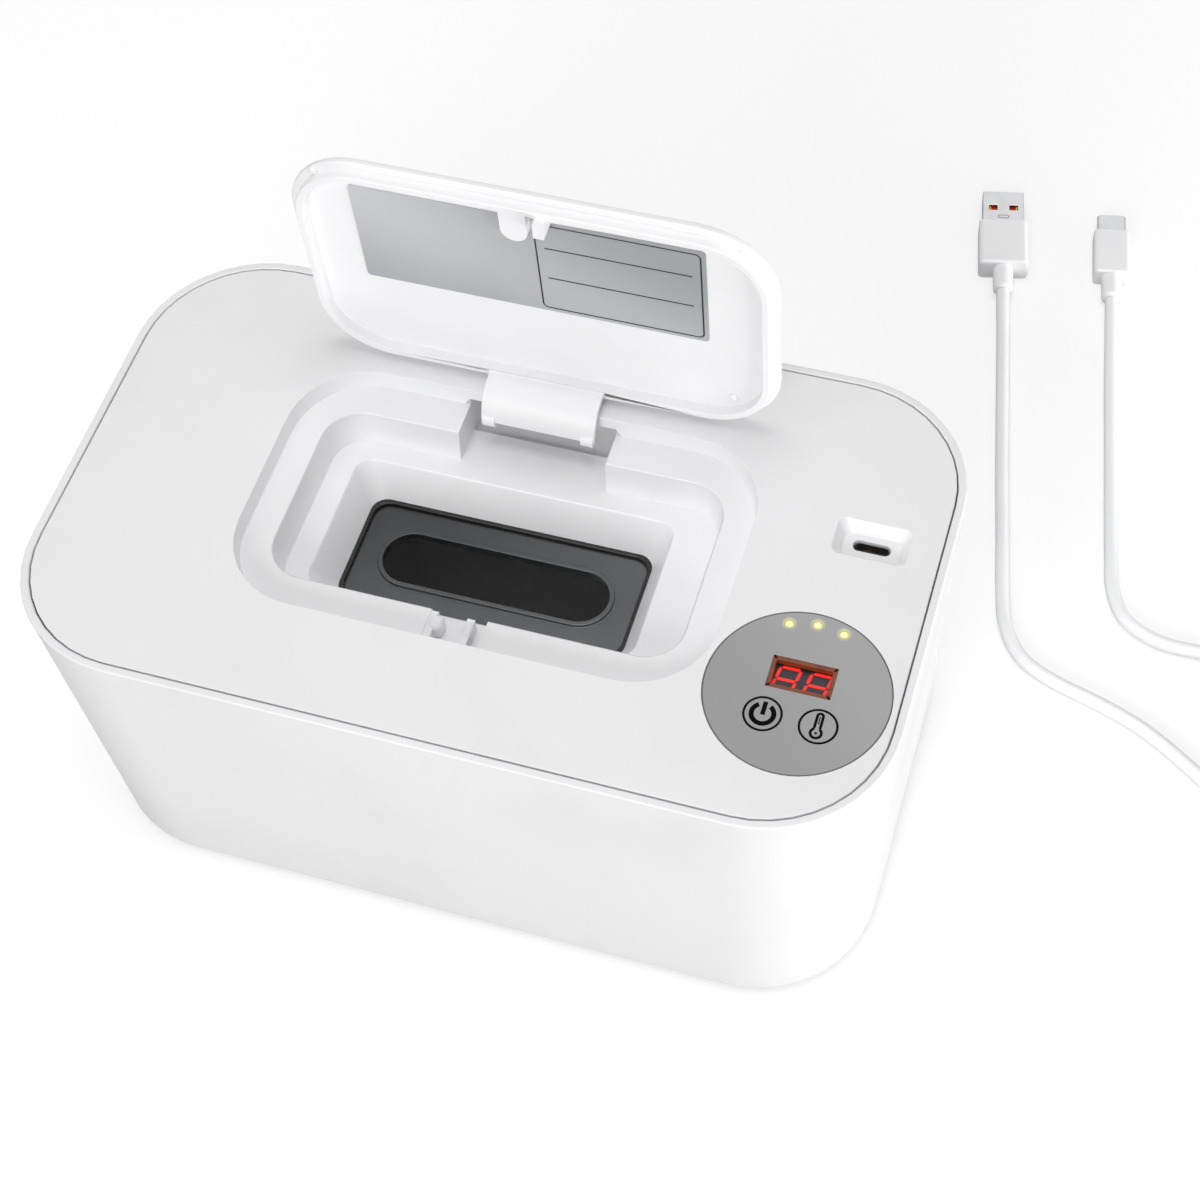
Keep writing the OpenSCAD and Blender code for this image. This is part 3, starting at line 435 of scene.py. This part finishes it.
# ---- Inner tub ----
# The pale tub that holds the wipes, smooth polypropylene. It hangs in the shell by its
# flange and shows only with the cover lifted.
tub_plastic = Finish("tub_plastic", (236, 237, 237), 0.3)
tub_plastic.moulded((228, 229, 230), 40, 0.8, 0.004, (0.26, 0.34))
piece("tub", from_frame("inner_tub"), "base", tub_plastic, ["inner_tub"], 0.3)

# ---- Feet and screws ----
# Grey rubber feet with a fine matt skin, over the zinc-plated steel screws that hold the
# tub in the shell. The same steel is on the cover's and the boards' screws.
foot_rubber = Finish("foot_rubber", (150, 152, 155), 0.8)
foot_rubber.moulded((134, 136, 139), 8, 0.25, 0.02, (0.72, 0.86))
piece("foot_pads", from_frame("feet"), "base", foot_rubber, ["feet"], 0.25)

steel = Finish("zinc_steel", (200, 201, 203), 0.3)
steel.set("Metallic", 1.0)
steel.moulded((176, 178, 182), 3, 0.15, 0.004, (0.24, 0.42))
for name in ("base_screws", "cover_screws", "pcb_screws"):
    put(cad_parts[name], steel)

# ---- Cover ----
# The lift-off cover with the deck, the basin, the hinge pocket, the catch and the socket
# recess, in the same white ABS with a slightly finer grain.
cover_plastic = Finish("cover_plastic", (240, 240, 241), 0.36)
cover_plastic.moulded((235, 235, 236), 40, 0.3, 0.004, (0.33, 0.42))
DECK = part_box("top_cover")[1].z / MM
BASIN_REACH = (60, 36)
BASIN_CHAMFER = 0.5
POCKET_SIDES = (-17.6, 18.8)


def pocket_corner(line):
    """True on the two upright edges where the hinge pocket opens into the basin."""
    a, b = (v.co / MM for v in line.verts)
    upright = abs(a.z - b.z) > 1 and hypot(a.x - b.x, a.y - b.y) < 1
    at_mouth = any(abs(a.x - side) < 0.2 for side in POCKET_SIDES)
    return upright and at_mouth and 24 < a.y < 36


def on_ring(line, height, reach):
    """True on a level edge at one height, within reach of the basin's middle."""
    ends = [v.co / MM for v in line.verts]
    level = all(abs(p.z - height) < 0.03 for p in ends)
    return level and all(abs(p.x) < reach[0] and abs(p.y) < reach[1] for p in ends)


def ring_at(height, reach):
    """A test for the sharp edges of such a ring."""
    return lambda line: on_ring(line, height, reach) and line.calc_face_angle(0) > radians(20)


def drop_ring(mesh, height, reach):
    """Takes out the lower edge of a small moulded bevel, before it is rounded."""
    chosen = [line for line in mesh.edges if on_ring(line, height, reach)]
    bmesh.ops.dissolve_edges(mesh, edges=chosen, use_verts=True)


cover_mesh = from_frame("top_cover")
round_edges(cover_mesh, pocket_corner, 1.4)
drop_ring(cover_mesh, DECK - BASIN_CHAMFER, BASIN_REACH)
round_edges(cover_mesh, ring_at(DECK, BASIN_REACH), 1.7, 6)
piece("cover", cover_mesh, "cover", cover_plastic, ["top_cover"], 0.12)

# ---- Catch nubs ----
# The two round-topped nubs in the window at the front of the seat, which the lid's tongue
# and latch close over. They are moulded in one with the cover.


def placed(x, y, z, w=1, d=1, h=1, turn=0):
    """The place, size and turn of a new shape, in millimetres and degrees."""
    return (
        Matrix.Translation(Vector((x, y, z)) * MM)
        @ Matrix.Rotation(radians(turn), 4, "Z")
        @ Matrix.Diagonal((w * MM, d * MM, h * MM, 1))
    )


def soft_block(mesh, spot, width, steps=4):
    """Adds a block of the given place and size with every edge rounded."""
    made = bmesh.ops.create_cube(mesh, size=1, matrix=spot)["verts"]
    bmesh.ops.bevel(
        mesh,
        geom=list({line for v in made for line in v.link_edges}),
        offset=width * MM,
        segments=steps,
        profile=0.5,
        affect="EDGES",
        material=-1,
    )


NUBS = ((-5.4, 3.6, 1.3), (2.3, 2.2, 1.0))
NUB_Y = -26.5
NUB_Z = 84
NUB_D = 4.2
NUB_H = 4.3
nubs = bmesh.new()
for x, wide, corner in NUBS:
    soft_block(nubs, placed(x, NUB_Y, NUB_Z, wide, NUB_D, NUB_H), corner, 6)
piece("catch_nubs", nubs, "cover", cover_plastic)

# ---- Cover bottom ----
# The pale pan that closes the cover from below and presses the heater plate up. It is the
# cover's own white ABS, held by six screws.
piece("pan", from_frame("cover_bottom"), "cover", cover_plastic,
      ["cover_bottom"], 0.3)

# ---- Lid ----
# The flip lid with its lip, hinge neck, arms, tongue and latch rib, in smooth white ABS.
# It turns on a steel pin and stands open.
lid_plastic = Finish("lid_plastic", (246, 246, 247), 0.42)
lid_plastic.moulded((240, 240, 241), 40, 0.6, 0.003, (0.38, 0.48))
PIN = Vector((0, 38.25, 86)) * MM
LID_OPEN = 88
LIP_Z = 86.5
INSIDE_Z = 89.2
LID_MARKS = ((-48.5, -28), (48.7, -27), (45.6, 24))
opened = (
    Matrix.Translation(PIN) @ Matrix.Rotation(radians(-LID_OPEN), 4, "X") @ Matrix.Translation(-PIN)
)
lid_mesh = from_frame("lid_shell")
bmesh.ops.transform(lid_mesh, matrix=opened.inverted(), verts=lid_mesh.verts)
round_edges(lid_mesh, ring_at(LIP_Z, BASIN_REACH), 0.7)
for x, y in LID_MARKS:
    bmesh.ops.create_uvsphere(
        lid_mesh,
        u_segments=20,
        v_segments=10,
        radius=1,
        matrix=placed(x, y, INSIDE_Z, 1.1, 1.1, 0.9),
    )
bmesh.ops.transform(lid_mesh, matrix=opened, verts=lid_mesh.verts)
piece("flip_lid", lid_mesh, "lid", lid_plastic, ["lid_shell"], 0.3)
put(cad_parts["hinge_pin"], steel)

# ---- Lid label ----
# The silver-grey plate inside the lid, satin printed foil with a soft painted sheen across its
# colour. Its right half has a thin dark frame with two rules, and the rest is bare.
foil = Finish("label_foil", (196, 197, 199), 0.35)
foil.set("Metallic", 0.25)
across, _, rise = foil.where()


def frame_line(x, y, centre, half, corner, stroke):
    """1 on the line of a rounded rectangle and 0 off it."""
    dx = (x - centre[0]).size().over(half[0] - corner)
    dy = (y - centre[1]).size().over(half[1] - corner)
    reach = (dx * dx + dy * dy).root()
    return reach.ramp(corner - stroke, corner - stroke * 0.7) - reach.ramp(corner, corner + 0.08)


PANEL_LEFT = 1.6
MARGIN = 1.0
PANEL_CORNER = 1.5
STROKE = 0.42
RULE_END = 2.2
RULES = (6.5, -3.5)
low, high = (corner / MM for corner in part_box("lid_label"))
middle = (low.z + high.z) / 2
panel = ((PANEL_LEFT + high.x - MARGIN) / 2, middle)
half = ((high.x - MARGIN - PANEL_LEFT) / 2, (high.z - low.z) / 2 - MARGIN)
ink = frame_line(across, rise, panel, half, PANEL_CORNER, STROKE)
inside = 1 - (across - panel[0]).size().ramp(half[0] - RULE_END, half[0] - RULE_END + 0.1)
for up in RULES:
    rule = 1 - (rise - (middle + up)).size().ramp(0.16, 0.24)
    ink = ink.math("MAXIMUM", rule * inside)
# Painted sheen: the foil's colour runs from light to darker silver across the plate.
painted_sheen = ((across + 12) * 0.5 + (rise - middle)).size().ramp(0, 34)
silver = foil.mix(linear(204, 205, 206), linear(172, 174, 177), painted_sheen)
foil.set("Base Color", foil.mix(silver, linear(48, 49, 52), ink))
foil.set("Roughness", foil.noise(0.5, 2, (1, 1, 6)) * 0.12 + 0.28)
foil.relief(foil.noise(0.25), 0.002)
piece("label_plate", from_frame("lid_label"), "lid", foil, ["lid_label"])

# ---- Heater plate ----
# The coated aluminium plate at the bottom of the throat, dark grey with a satin gloss that
# mirrors the walls, and a painted reflection that lightens it towards the front right. It is
# clamped between the cover and the pan.
coating = Finish("plate_coating", (84, 85, 87), 0.24)
coating.set("Metallic", 0.7)
along, depth, _ = coating.where()
# Painted reflection: the plate's colour runs from dark to lighter grey towards the front right.
painted_reflection = (along * 0.6 - depth + 10).ramp(-40, 45)
coating.set("Base Color", coating.mix(linear(58, 59, 61), linear(106, 107, 109), painted_reflection))
coating.set("Roughness", coating.noise(5) * 0.14 + 0.16)
coating.relief(coating.noise(0.4), 0.004)
piece("warm_plate", from_frame("heater_plate"), "cover", coating,
      ["heater_plate"], 0.2)

# ---- Gasket ----
# The glossy black silicone frame round the plate, squeezed under the throat.
silicone = Finish("black_silicone", (20, 20, 21), 0.3)
silicone.moulded((13, 13, 14), 6, 0.3, 0.008, (0.2, 0.36))
piece("gasket", from_frame("heater_gasket"), "cover", silicone,
      ["heater_gasket"], 0.3)

# ---- Heater parts ----
# Under the cover: the amber film heater, the grey foam over it, the green bead sensor and
# the tan ceramic body of the thermal fuse.
film = Finish("heater_film", (196, 118, 40), 0.3)
_, track_y, _ = film.where()
track = (track_y * 1.6).math("SINE").ramp(0.1, 0.5)
film.set("Base Color", film.mix(linear(150, 84, 30), linear(206, 132, 52), track))
film.set("Metallic", track * 0.5)
put(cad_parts["heating_film"], film)
foam = Finish("grey_foam", (128, 130, 133), 0.95)
foam.moulded((104, 106, 110), 1.2, 0.5, 0.12, (0.9, 1.0))
put(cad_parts["insulation_foam"], foam)
bead = Finish("sensor_bead", (38, 78, 52), 0.25)
bead.moulded((26, 60, 40), 1, 0.3, 0.004, (0.2, 0.3))
put(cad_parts["ntc_sensor"], bead)
fuse = Finish("fuse_body", (196, 168, 120), 0.45)
fuse.moulded((180, 150, 104), 2, 0.3, 0.006, (0.4, 0.5))
put(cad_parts["thermal_fuse"], fuse)

# ---- Control disc ----
# The round grey film over the panel, satin polyester with a thin dark edge, painted shading
# that lightens it towards the back right and a painted warm glow round the three lit indicators.
# It is glued in a shallow recess.
DISC = Vector((77.9, -26.2))
DISC_R = 20.5
DISC_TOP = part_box("overlay_disc")[1].z / MM
LED_SPOTS = ((-6, 16.6), (0.1, 17.8), (6.2, 16.9))


def near_lights(x, y, low, high):
    """1 at the middle of each light, falling to 0 as the distance goes from low to high."""
    nearest = None
    for led_x, led_y in LED_SPOTS:
        far_x = x - led_x
        far_y = y - led_y
        near = 1 - (far_x * far_x + far_y * far_y).root().ramp(low, high)
        nearest = near if nearest is None else nearest.math("MAXIMUM", near)
    return nearest


disc = Finish("disc_film", (166, 166, 167), 0.34)
panel_x, panel_y, _ = disc.where()
from_x = panel_x - DISC.x
from_y = panel_y - DISC.y
radius = (from_x * from_x + from_y * from_y).root()
# Painted shading: the grey runs lighter towards the back right; a thin dark ring lines the edge.
grey_with_painted_shading = disc.mix(
    linear(152, 152, 153), linear(165, 165, 166), (from_x + from_y).ramp(-22, 22)
)
grey_with_painted_shading = disc.mix(grey_with_painted_shading, linear(92, 92, 94), radius.ramp(DISC_R - 0.35, DISC_R - 0.15))
# Painted glow: the film gives off a warm light round each indicator, though it is no lamp.
painted_glow = near_lights(from_x, from_y, 0.7, 2.0)
disc.set("Base Color", grey_with_painted_shading)
disc.glow(disc.mix(BLACK, (0.3, 0.27, 0.08, 1), painted_glow))
disc.set("Roughness", disc.noise(0.4) * 0.1 + 0.3)
disc.relief(disc.noise(0.22), 0.003)
piece("control_disc", from_frame("overlay_disc"), "cover", disc,
      ["overlay_disc"], 0.12)

# ---- Indicators ----
# Three clear light guides with a warm yellow glow, pale in the middle. They are moulded
# acrylic, pushed up into the disc's holes from the board.
lens = Finish("indicator_lens", (244, 240, 170), 0.35)
lens_x, lens_y, _ = lens.where()
heart = near_lights(lens_x - DISC.x, lens_y - DISC.y, 0.2, 0.95)
lens.glow(lens.mix(linear(222, 212, 96), linear(252, 252, 214), heart), 0.45)
piece("indicators", from_frame("status_leds"), "cover", lens, ["status_leds"])

# ---- Printed symbols ----
# The two black key symbols on the disc, power and temperature, each in a thin ring. They
# are screen-printed ink 0.01 mm thick.


def band(mesh, centre, outer, stroke, first=0, last=360, z=0.0):
    """Adds a flat curved band from one angle to another, outer being its outer radius."""
    middle = Vector((*centre, z))
    way = Vector((cos(radians(first)), sin(radians(first)), 0))
    ends = [mesh.verts.new((middle + way * r) * MM) for r in (outer - stroke, outer)]
    bmesh.ops.spin(
        mesh,
        geom=[*ends, mesh.edges.new(ends)],
        cent=middle * MM,
        axis=(0, 0, 1),
        angle=radians(last - first),
        steps=max(8, round((last - first) / 8)),
        use_merge=last - first == 360,
    )


def bar(mesh, centre, w, d, z):
    """Adds a flat rectangle."""
    bmesh.ops.create_grid(
        mesh, x_segments=1, y_segments=1, size=0.5, matrix=placed(*centre, z, w, d)
    )


def thicken(mesh, height):
    """Makes every flat face of a mesh a solid of the given height."""
    for face in mesh.faces:
        if face.normal.z < 0:
            face.normal_flip()
    made = bmesh.ops.extrude_face_region(mesh, geom=mesh.faces[:])
    raised = [v for v in made["geom"] if isinstance(v, bmesh.types.BMVert)]
    bmesh.ops.translate(mesh, vec=(0, 0, height * MM), verts=raised)
    bmesh.ops.recalc_face_normals(mesh, faces=mesh.faces)


INK_Z = DISC_TOP + 0.004
INK = 0.01
KEY_X = (-5.8, 6.4)
KEY_Y = -7.1
RING = (4.35, 0.52)
ARC = (2.98, 1.1)
ARC_ENDS = (122, 418)
BULB = (1.5, 0.62)
BULB_ENDS = (116, 424)
STEM_HALF = 0.64
symbols = bmesh.new()
power, heat = ((DISC.x + x, DISC.y + KEY_Y) for x in KEY_X)
for centre in (power, heat):
    band(symbols, centre, *RING, z=INK_Z)
band(symbols, power, *ARC, *ARC_ENDS, INK_Z)
bar(symbols, (power[0], power[1] + 1.4), 1.0, 3.3, INK_Z)
bulb = (heat[0] - 0.1, heat[1] - 1.7)
band(symbols, bulb, *BULB, *BULB_ENDS, INK_Z)
for side in (-1, 1):
    bar(symbols, (bulb[0] + side * STEM_HALF, bulb[1] + 2.7), 0.6, 3.1, INK_Z)
band(symbols, (bulb[0], bulb[1] + 4.25), STEM_HALF + 0.3, 0.6, 0, 180, INK_Z)
bar(symbols, (bulb[0], bulb[1] + 3.2), 0.26, 1.9, INK_Z)
bmesh.ops.create_circle(
    symbols,
    cap_ends=True,
    segments=24,
    radius=1,
    matrix=placed(*bulb, INK_Z, 0.3, 0.3),
)
thicken(symbols, INK)
black_ink = Finish("black_ink", (8, 8, 8), 0.6)
black_ink.set("Specular IOR Level", 0.04)
black_ink.moulded((4, 4, 4), 3, 0.2, 0.001, (0.5, 0.66))
piece("printed_symbols", symbols, "cover", black_ink)

# ---- Display ----
# The two-digit red display under the disc's window: a dark face in its case, lit digits
# made of slanted bars, and an amber-brown frame that lines the window, with a faint painted glow.
dark_face = Finish("display_face", (52, 50, 58), 0.25)
dark_face.moulded((38, 35, 42), 6, 0.3, 0.004, (0.2, 0.3))
piece("display_case", from_frame("display_module"), "cover", dark_face,
      ["display_module"])

FACE_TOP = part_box("display_module")[1].z / MM - 0.4
DIGIT_W = 4.5
DIGIT_H = 6.2
BAR = 0.72
SLANT = 0.17
BAR_GAP = 0.16
DIGIT_Z = FACE_TOP + 0.02
DIGIT_X = (-6.2, 0.75)
DIGIT_Y = 0.4


def lit_bar(mesh, start, end, foot):
    """Adds one flat pointed bar of a digit, leaning with the digit."""
    a = Vector(start)
    b = Vector(end)
    way = (b - a).normalized()
    side = Vector((-way.y, way.x)) * BAR / 2
    tip = way * BAR / 2
    a += way * BAR_GAP
    b -= way * BAR_GAP
    outline = [a, a + tip - side, b - tip - side, b, b - tip + side, a + tip + side]
    leaning = [(foot[0] + p.x + p.y * SLANT, foot[1] + p.y, DIGIT_Z) for p in outline]
    mesh.faces.new([mesh.verts.new(Vector(p) * MM) for p in leaning])


digits = bmesh.new()
for left in DIGIT_X:
    foot = (DISC.x + left, DISC.y + DIGIT_Y)
    for height in (0, DIGIT_H / 2, DIGIT_H):
        lit_bar(digits, (0, height), (DIGIT_W, height), foot)
    for across_x in (0, DIGIT_W):
        for height in (0, DIGIT_H / 2):
            lit_bar(digits, (across_x, height), (across_x, height + DIGIT_H / 2), foot)
bmesh.ops.recalc_face_normals(digits, faces=digits.faces)
thicken(digits, 0.12)
lit = Finish("lit_red", (190, 20, 14), 0.4)
lit.glow(lit.mix(linear(186, 12, 8), linear(226, 36, 22), lit.noise(0.8)), 1.0)
piece("digits", digits, "cover", lit)


def rounded_plate(mesh, spot, corner):
    """Adds a flat rectangle with round corners."""
    made = bmesh.ops.create_grid(mesh, x_segments=1, y_segments=1, size=0.5, matrix=spot)
    bmesh.ops.bevel(
        mesh,
        geom=made["verts"],
        offset=corner * MM,
        segments=6,
        profile=0.5,
        affect="VERTICES",
        material=-1,
    )


def hollow_frame(spot, corner, wall, height):
    """A flat rounded frame with the given wall and height."""
    mesh = bmesh.new()
    rounded_plate(mesh, spot, corner)
    made = bmesh.ops.inset_region(
        mesh, faces=mesh.faces[:], thickness=wall * MM, use_boundary=True
    )
    middle = [face for face in mesh.faces if face not in made["faces"]]
    bmesh.ops.delete(mesh, geom=middle, context="FACES_ONLY")
    thicken(mesh, height)
    return mesh


WINDOW_W = 14.36
WINDOW_D = 8.06
WINDOW_AT = (DISC.x + 0.05, DISC.y + 3.95)
window_low = FACE_TOP + 0.42
window_high = DISC_TOP - 0.12
frame_mesh = hollow_frame(
    placed(*WINDOW_AT, window_low, WINDOW_W, WINDOW_D), 0.3, 0.95, window_high - window_low
)
amber = Finish("amber_frame_painted_glow", (118, 58, 22), 0.3)
amber.moulded((88, 42, 18), 3, 0.4, 0.004, (0.24, 0.36))
# Painted glow: the frame gives off a faint amber light, though it is no lamp.
amber.glow(linear(92, 34, 8), 0.3)
piece("display_frame", frame_mesh, "cover", amber, (), 0.1)

# ---- Boards and light mask ----
# The control board and the socket board in green solder mask with paler tracks, the black
# moulded mask that keeps the lights apart, and the steel touch springs. The same black
# plastic is the insulator in the smaller plug.
mask_green = Finish("solder_mask", (28, 92, 56), 0.3)
board_x, _, _ = mask_green.where()
lines = (board_x * 3.1 + mask_green.noise(6) * 9).math("SINE").ramp(0.55, 0.8)
mask_green.set("Base Color", mask_green.mix(linear(24, 84, 50), linear(52, 128, 78), lines))
mask_green.set("Roughness", mask_green.noise(0.8) * 0.12 + 0.26)
mask_green.relief(lines, 0.02)
for name in ("main_pcb", "socket_board"):
    put(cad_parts[name], mask_green)
black_plastic = Finish("black_plastic", (34, 34, 36), 0.45)
black_plastic.moulded((26, 26, 28), 10, 0.3, 0.006, (0.4, 0.52))
for name in ("light_mask", "usb_c_plug_insert"):
    put(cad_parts[name], black_plastic)
put(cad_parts["touch_springs"], steel)

# ---- Socket ----
# The charging socket in its recess: a drawn steel sleeve, the dark moulded tongue and its
# gilt contacts, soldered to their own small board.
put(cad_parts["usb_c_socket"], steel)
tongue = Finish("tongue_plastic", (20, 20, 22), 0.4)
tongue.moulded((12, 12, 13), 2, 0.2, 0.004, (0.34, 0.46))
piece("socket_blade", from_frame("socket_tongue"), "cover", tongue,
      ["socket_tongue"], 0.1)
blade_low, blade_high = (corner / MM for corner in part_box("socket_tongue"))
CONTACTS = 12
CONTACT_PITCH = 0.5
CONTACT_H = 3
contact_z = blade_high.z - 0.4 - CONTACT_H / 2
contacts = bmesh.new()
for k in range(CONTACTS):
    x = (blade_low.x + blade_high.x) / 2 + (k - (CONTACTS - 1) / 2) * CONTACT_PITCH
    for y in (blade_low.y - 0.02, blade_high.y + 0.02):
        soft_block(contacts, placed(x, y, contact_z, 0.24, 0.04, CONTACT_H), 0.01, 2)
gilt = Finish("gilt_contacts", (222, 178, 92), 0.25)
gilt.set("Metallic", 1.0)
gilt.moulded((204, 158, 74), 1, 0.2, 0.002, (0.2, 0.32))
piece("socket_contacts", contacts, "cover", gilt)

# ---- Wires ----
# Two pairs of thin PVC wires, red and black, from the socket to the board and from the
# board down to the heater. They are soldered at both ends.
SOCKET = (84.3, 16.15)
SOCKET_LOW = 75.1
BOARD_LOW = 80
PLATE_TOP = 67
WIRE_D = 1.4
WIRE_HALF = 2
board_end = (DISC.x + 4, DISC.y + 16.2)
heater_start = (DISC.x - 8, DISC.y - 11)
heater_x = 66.2
for side, name, shades in (
    (1, "wires_red", ((196, 36, 32), (168, 26, 24))),
    (-1, "wires_black", ((44, 44, 46), (30, 30, 32))),
):
    aside = WIRE_HALF * side
    routes = [
        [
            (SOCKET[0] + aside, SOCKET[1] - 3, SOCKET_LOW),
            (SOCKET[0] - 3.6 + aside, SOCKET[1] - 9, SOCKET_LOW - 2.2),
            (board_end[0] - 2.4 + aside, board_end[1] + 10, BOARD_LOW - 5),
            (board_end[0] + aside, board_end[1], BOARD_LOW - 1.2),
        ],
        [
            (heater_start[0] + aside, heater_start[1], BOARD_LOW - 1.2),
            (heater_start[0] + aside, heater_start[1] + 5, BOARD_LOW - 4),
            (heater_x + 1.2 * side, -14, PLATE_TOP + 4),
            (heater_x + 1.2 * side, -6, PLATE_TOP + 1.2),
        ],
    ]
    sleeve = Finish(name + "_pvc", shades[0], 0.4)
    sleeve.moulded(shades[1], 4, 0.3, 0.006, (0.34, 0.46))
    wires = curve_piece(name, [smoothed(r, 8) for r in routes], WIRE_D, "cover", sleeve)
    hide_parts("wire_harness")

# ---- Lead's plugs ----
# Two plugs in satin nickel-plated steel with white TPE grips and cable sleeves. The larger
# one shows its orange insert and gilt contacts through two windows.
nickel = Finish("satin_nickel", (226, 227, 229), 0.34)
nickel.set("Metallic", 1.0)
nickel.moulded((216, 217, 219), 6, 0.4, 0.0004, (0.3, 0.4))
grip = Finish("white_grip", (253, 253, 254), 0.4)
grip.moulded((249, 249, 251), 14, 0.3, 0.004, (0.36, 0.46))
orange = Finish("orange_insert", (222, 66, 26), 0.4)
orange.moulded((196, 50, 18), 3, 0.2, 0.004, (0.34, 0.46))
for name, node, finish, slot, edge in (
    ("plug_a_sleeve", "usb_a_shell", nickel, "plug_metal", 0.12),
    ("plug_a_block", "usb_a_insert", orange, "orange_plastic", 0.1),
    ("plug_a_grip", "usb_a_overmould", grip, "lead_white", 0.5),
    ("plug_a_relief", "usb_a_relief", grip, "lead_white", 0.2),
    ("plug_c_sleeve", "usb_c_plug_shell", nickel, "plug_metal", 0.1),
    ("plug_c_grip", "usb_c_overmould", grip, "lead_white", 0.5),
    ("plug_c_relief", "usb_c_relief", grip, "lead_white", 0.2),
    ("coil_band", "coil_tie", grip, "lead_white", 0.15),
):
    piece(name, from_frame(node), "base", finish, [node], edge)


def on_plug(plug, along, aside, z, w, d, h=1):
    """The place of a shape on a plug, along it from the tip and aside from its middle."""
    (x, y), turn = plug
    c = cos(radians(turn))
    s = sin(radians(turn))
    return placed(x + along * c - aside * s, y + along * s + aside * c, z, w, d, h, turn)


STRIP_AT = (6.3, 3.85, 5.25)
OVAL_AT = (9.9, 0, 6.04)
strips = bmesh.new()
for side in (-1, 1):
    spot = on_plug(PLUG_A, STRIP_AT[0], side * STRIP_AT[1], STRIP_AT[2], 1.9, 0.5, 0.7)
    soft_block(strips, spot, 0.05, 2)
piece("plug_a_contacts", strips, "base", gilt)
# Painted shade: a thin dark ring on the larger plug's sleeve stands in for the shade along its
# pressed oval.
oval_shade_ring = hollow_frame(on_plug(PLUG_A, *OVAL_AT, 1.3, 3.3), 0.6, 0.22, 0.03)
groove_shade = Finish("painted_groove_shade", (120, 121, 124), 0.4)
groove_shade.set("Metallic", 0.6)
groove_shade.moulded((92, 93, 96), 1, 0.2, 0.001, (0.36, 0.5))
piece("plug_a_oval", oval_shade_ring, "base", groove_shade)
[c * MM for c in route_a[0]]
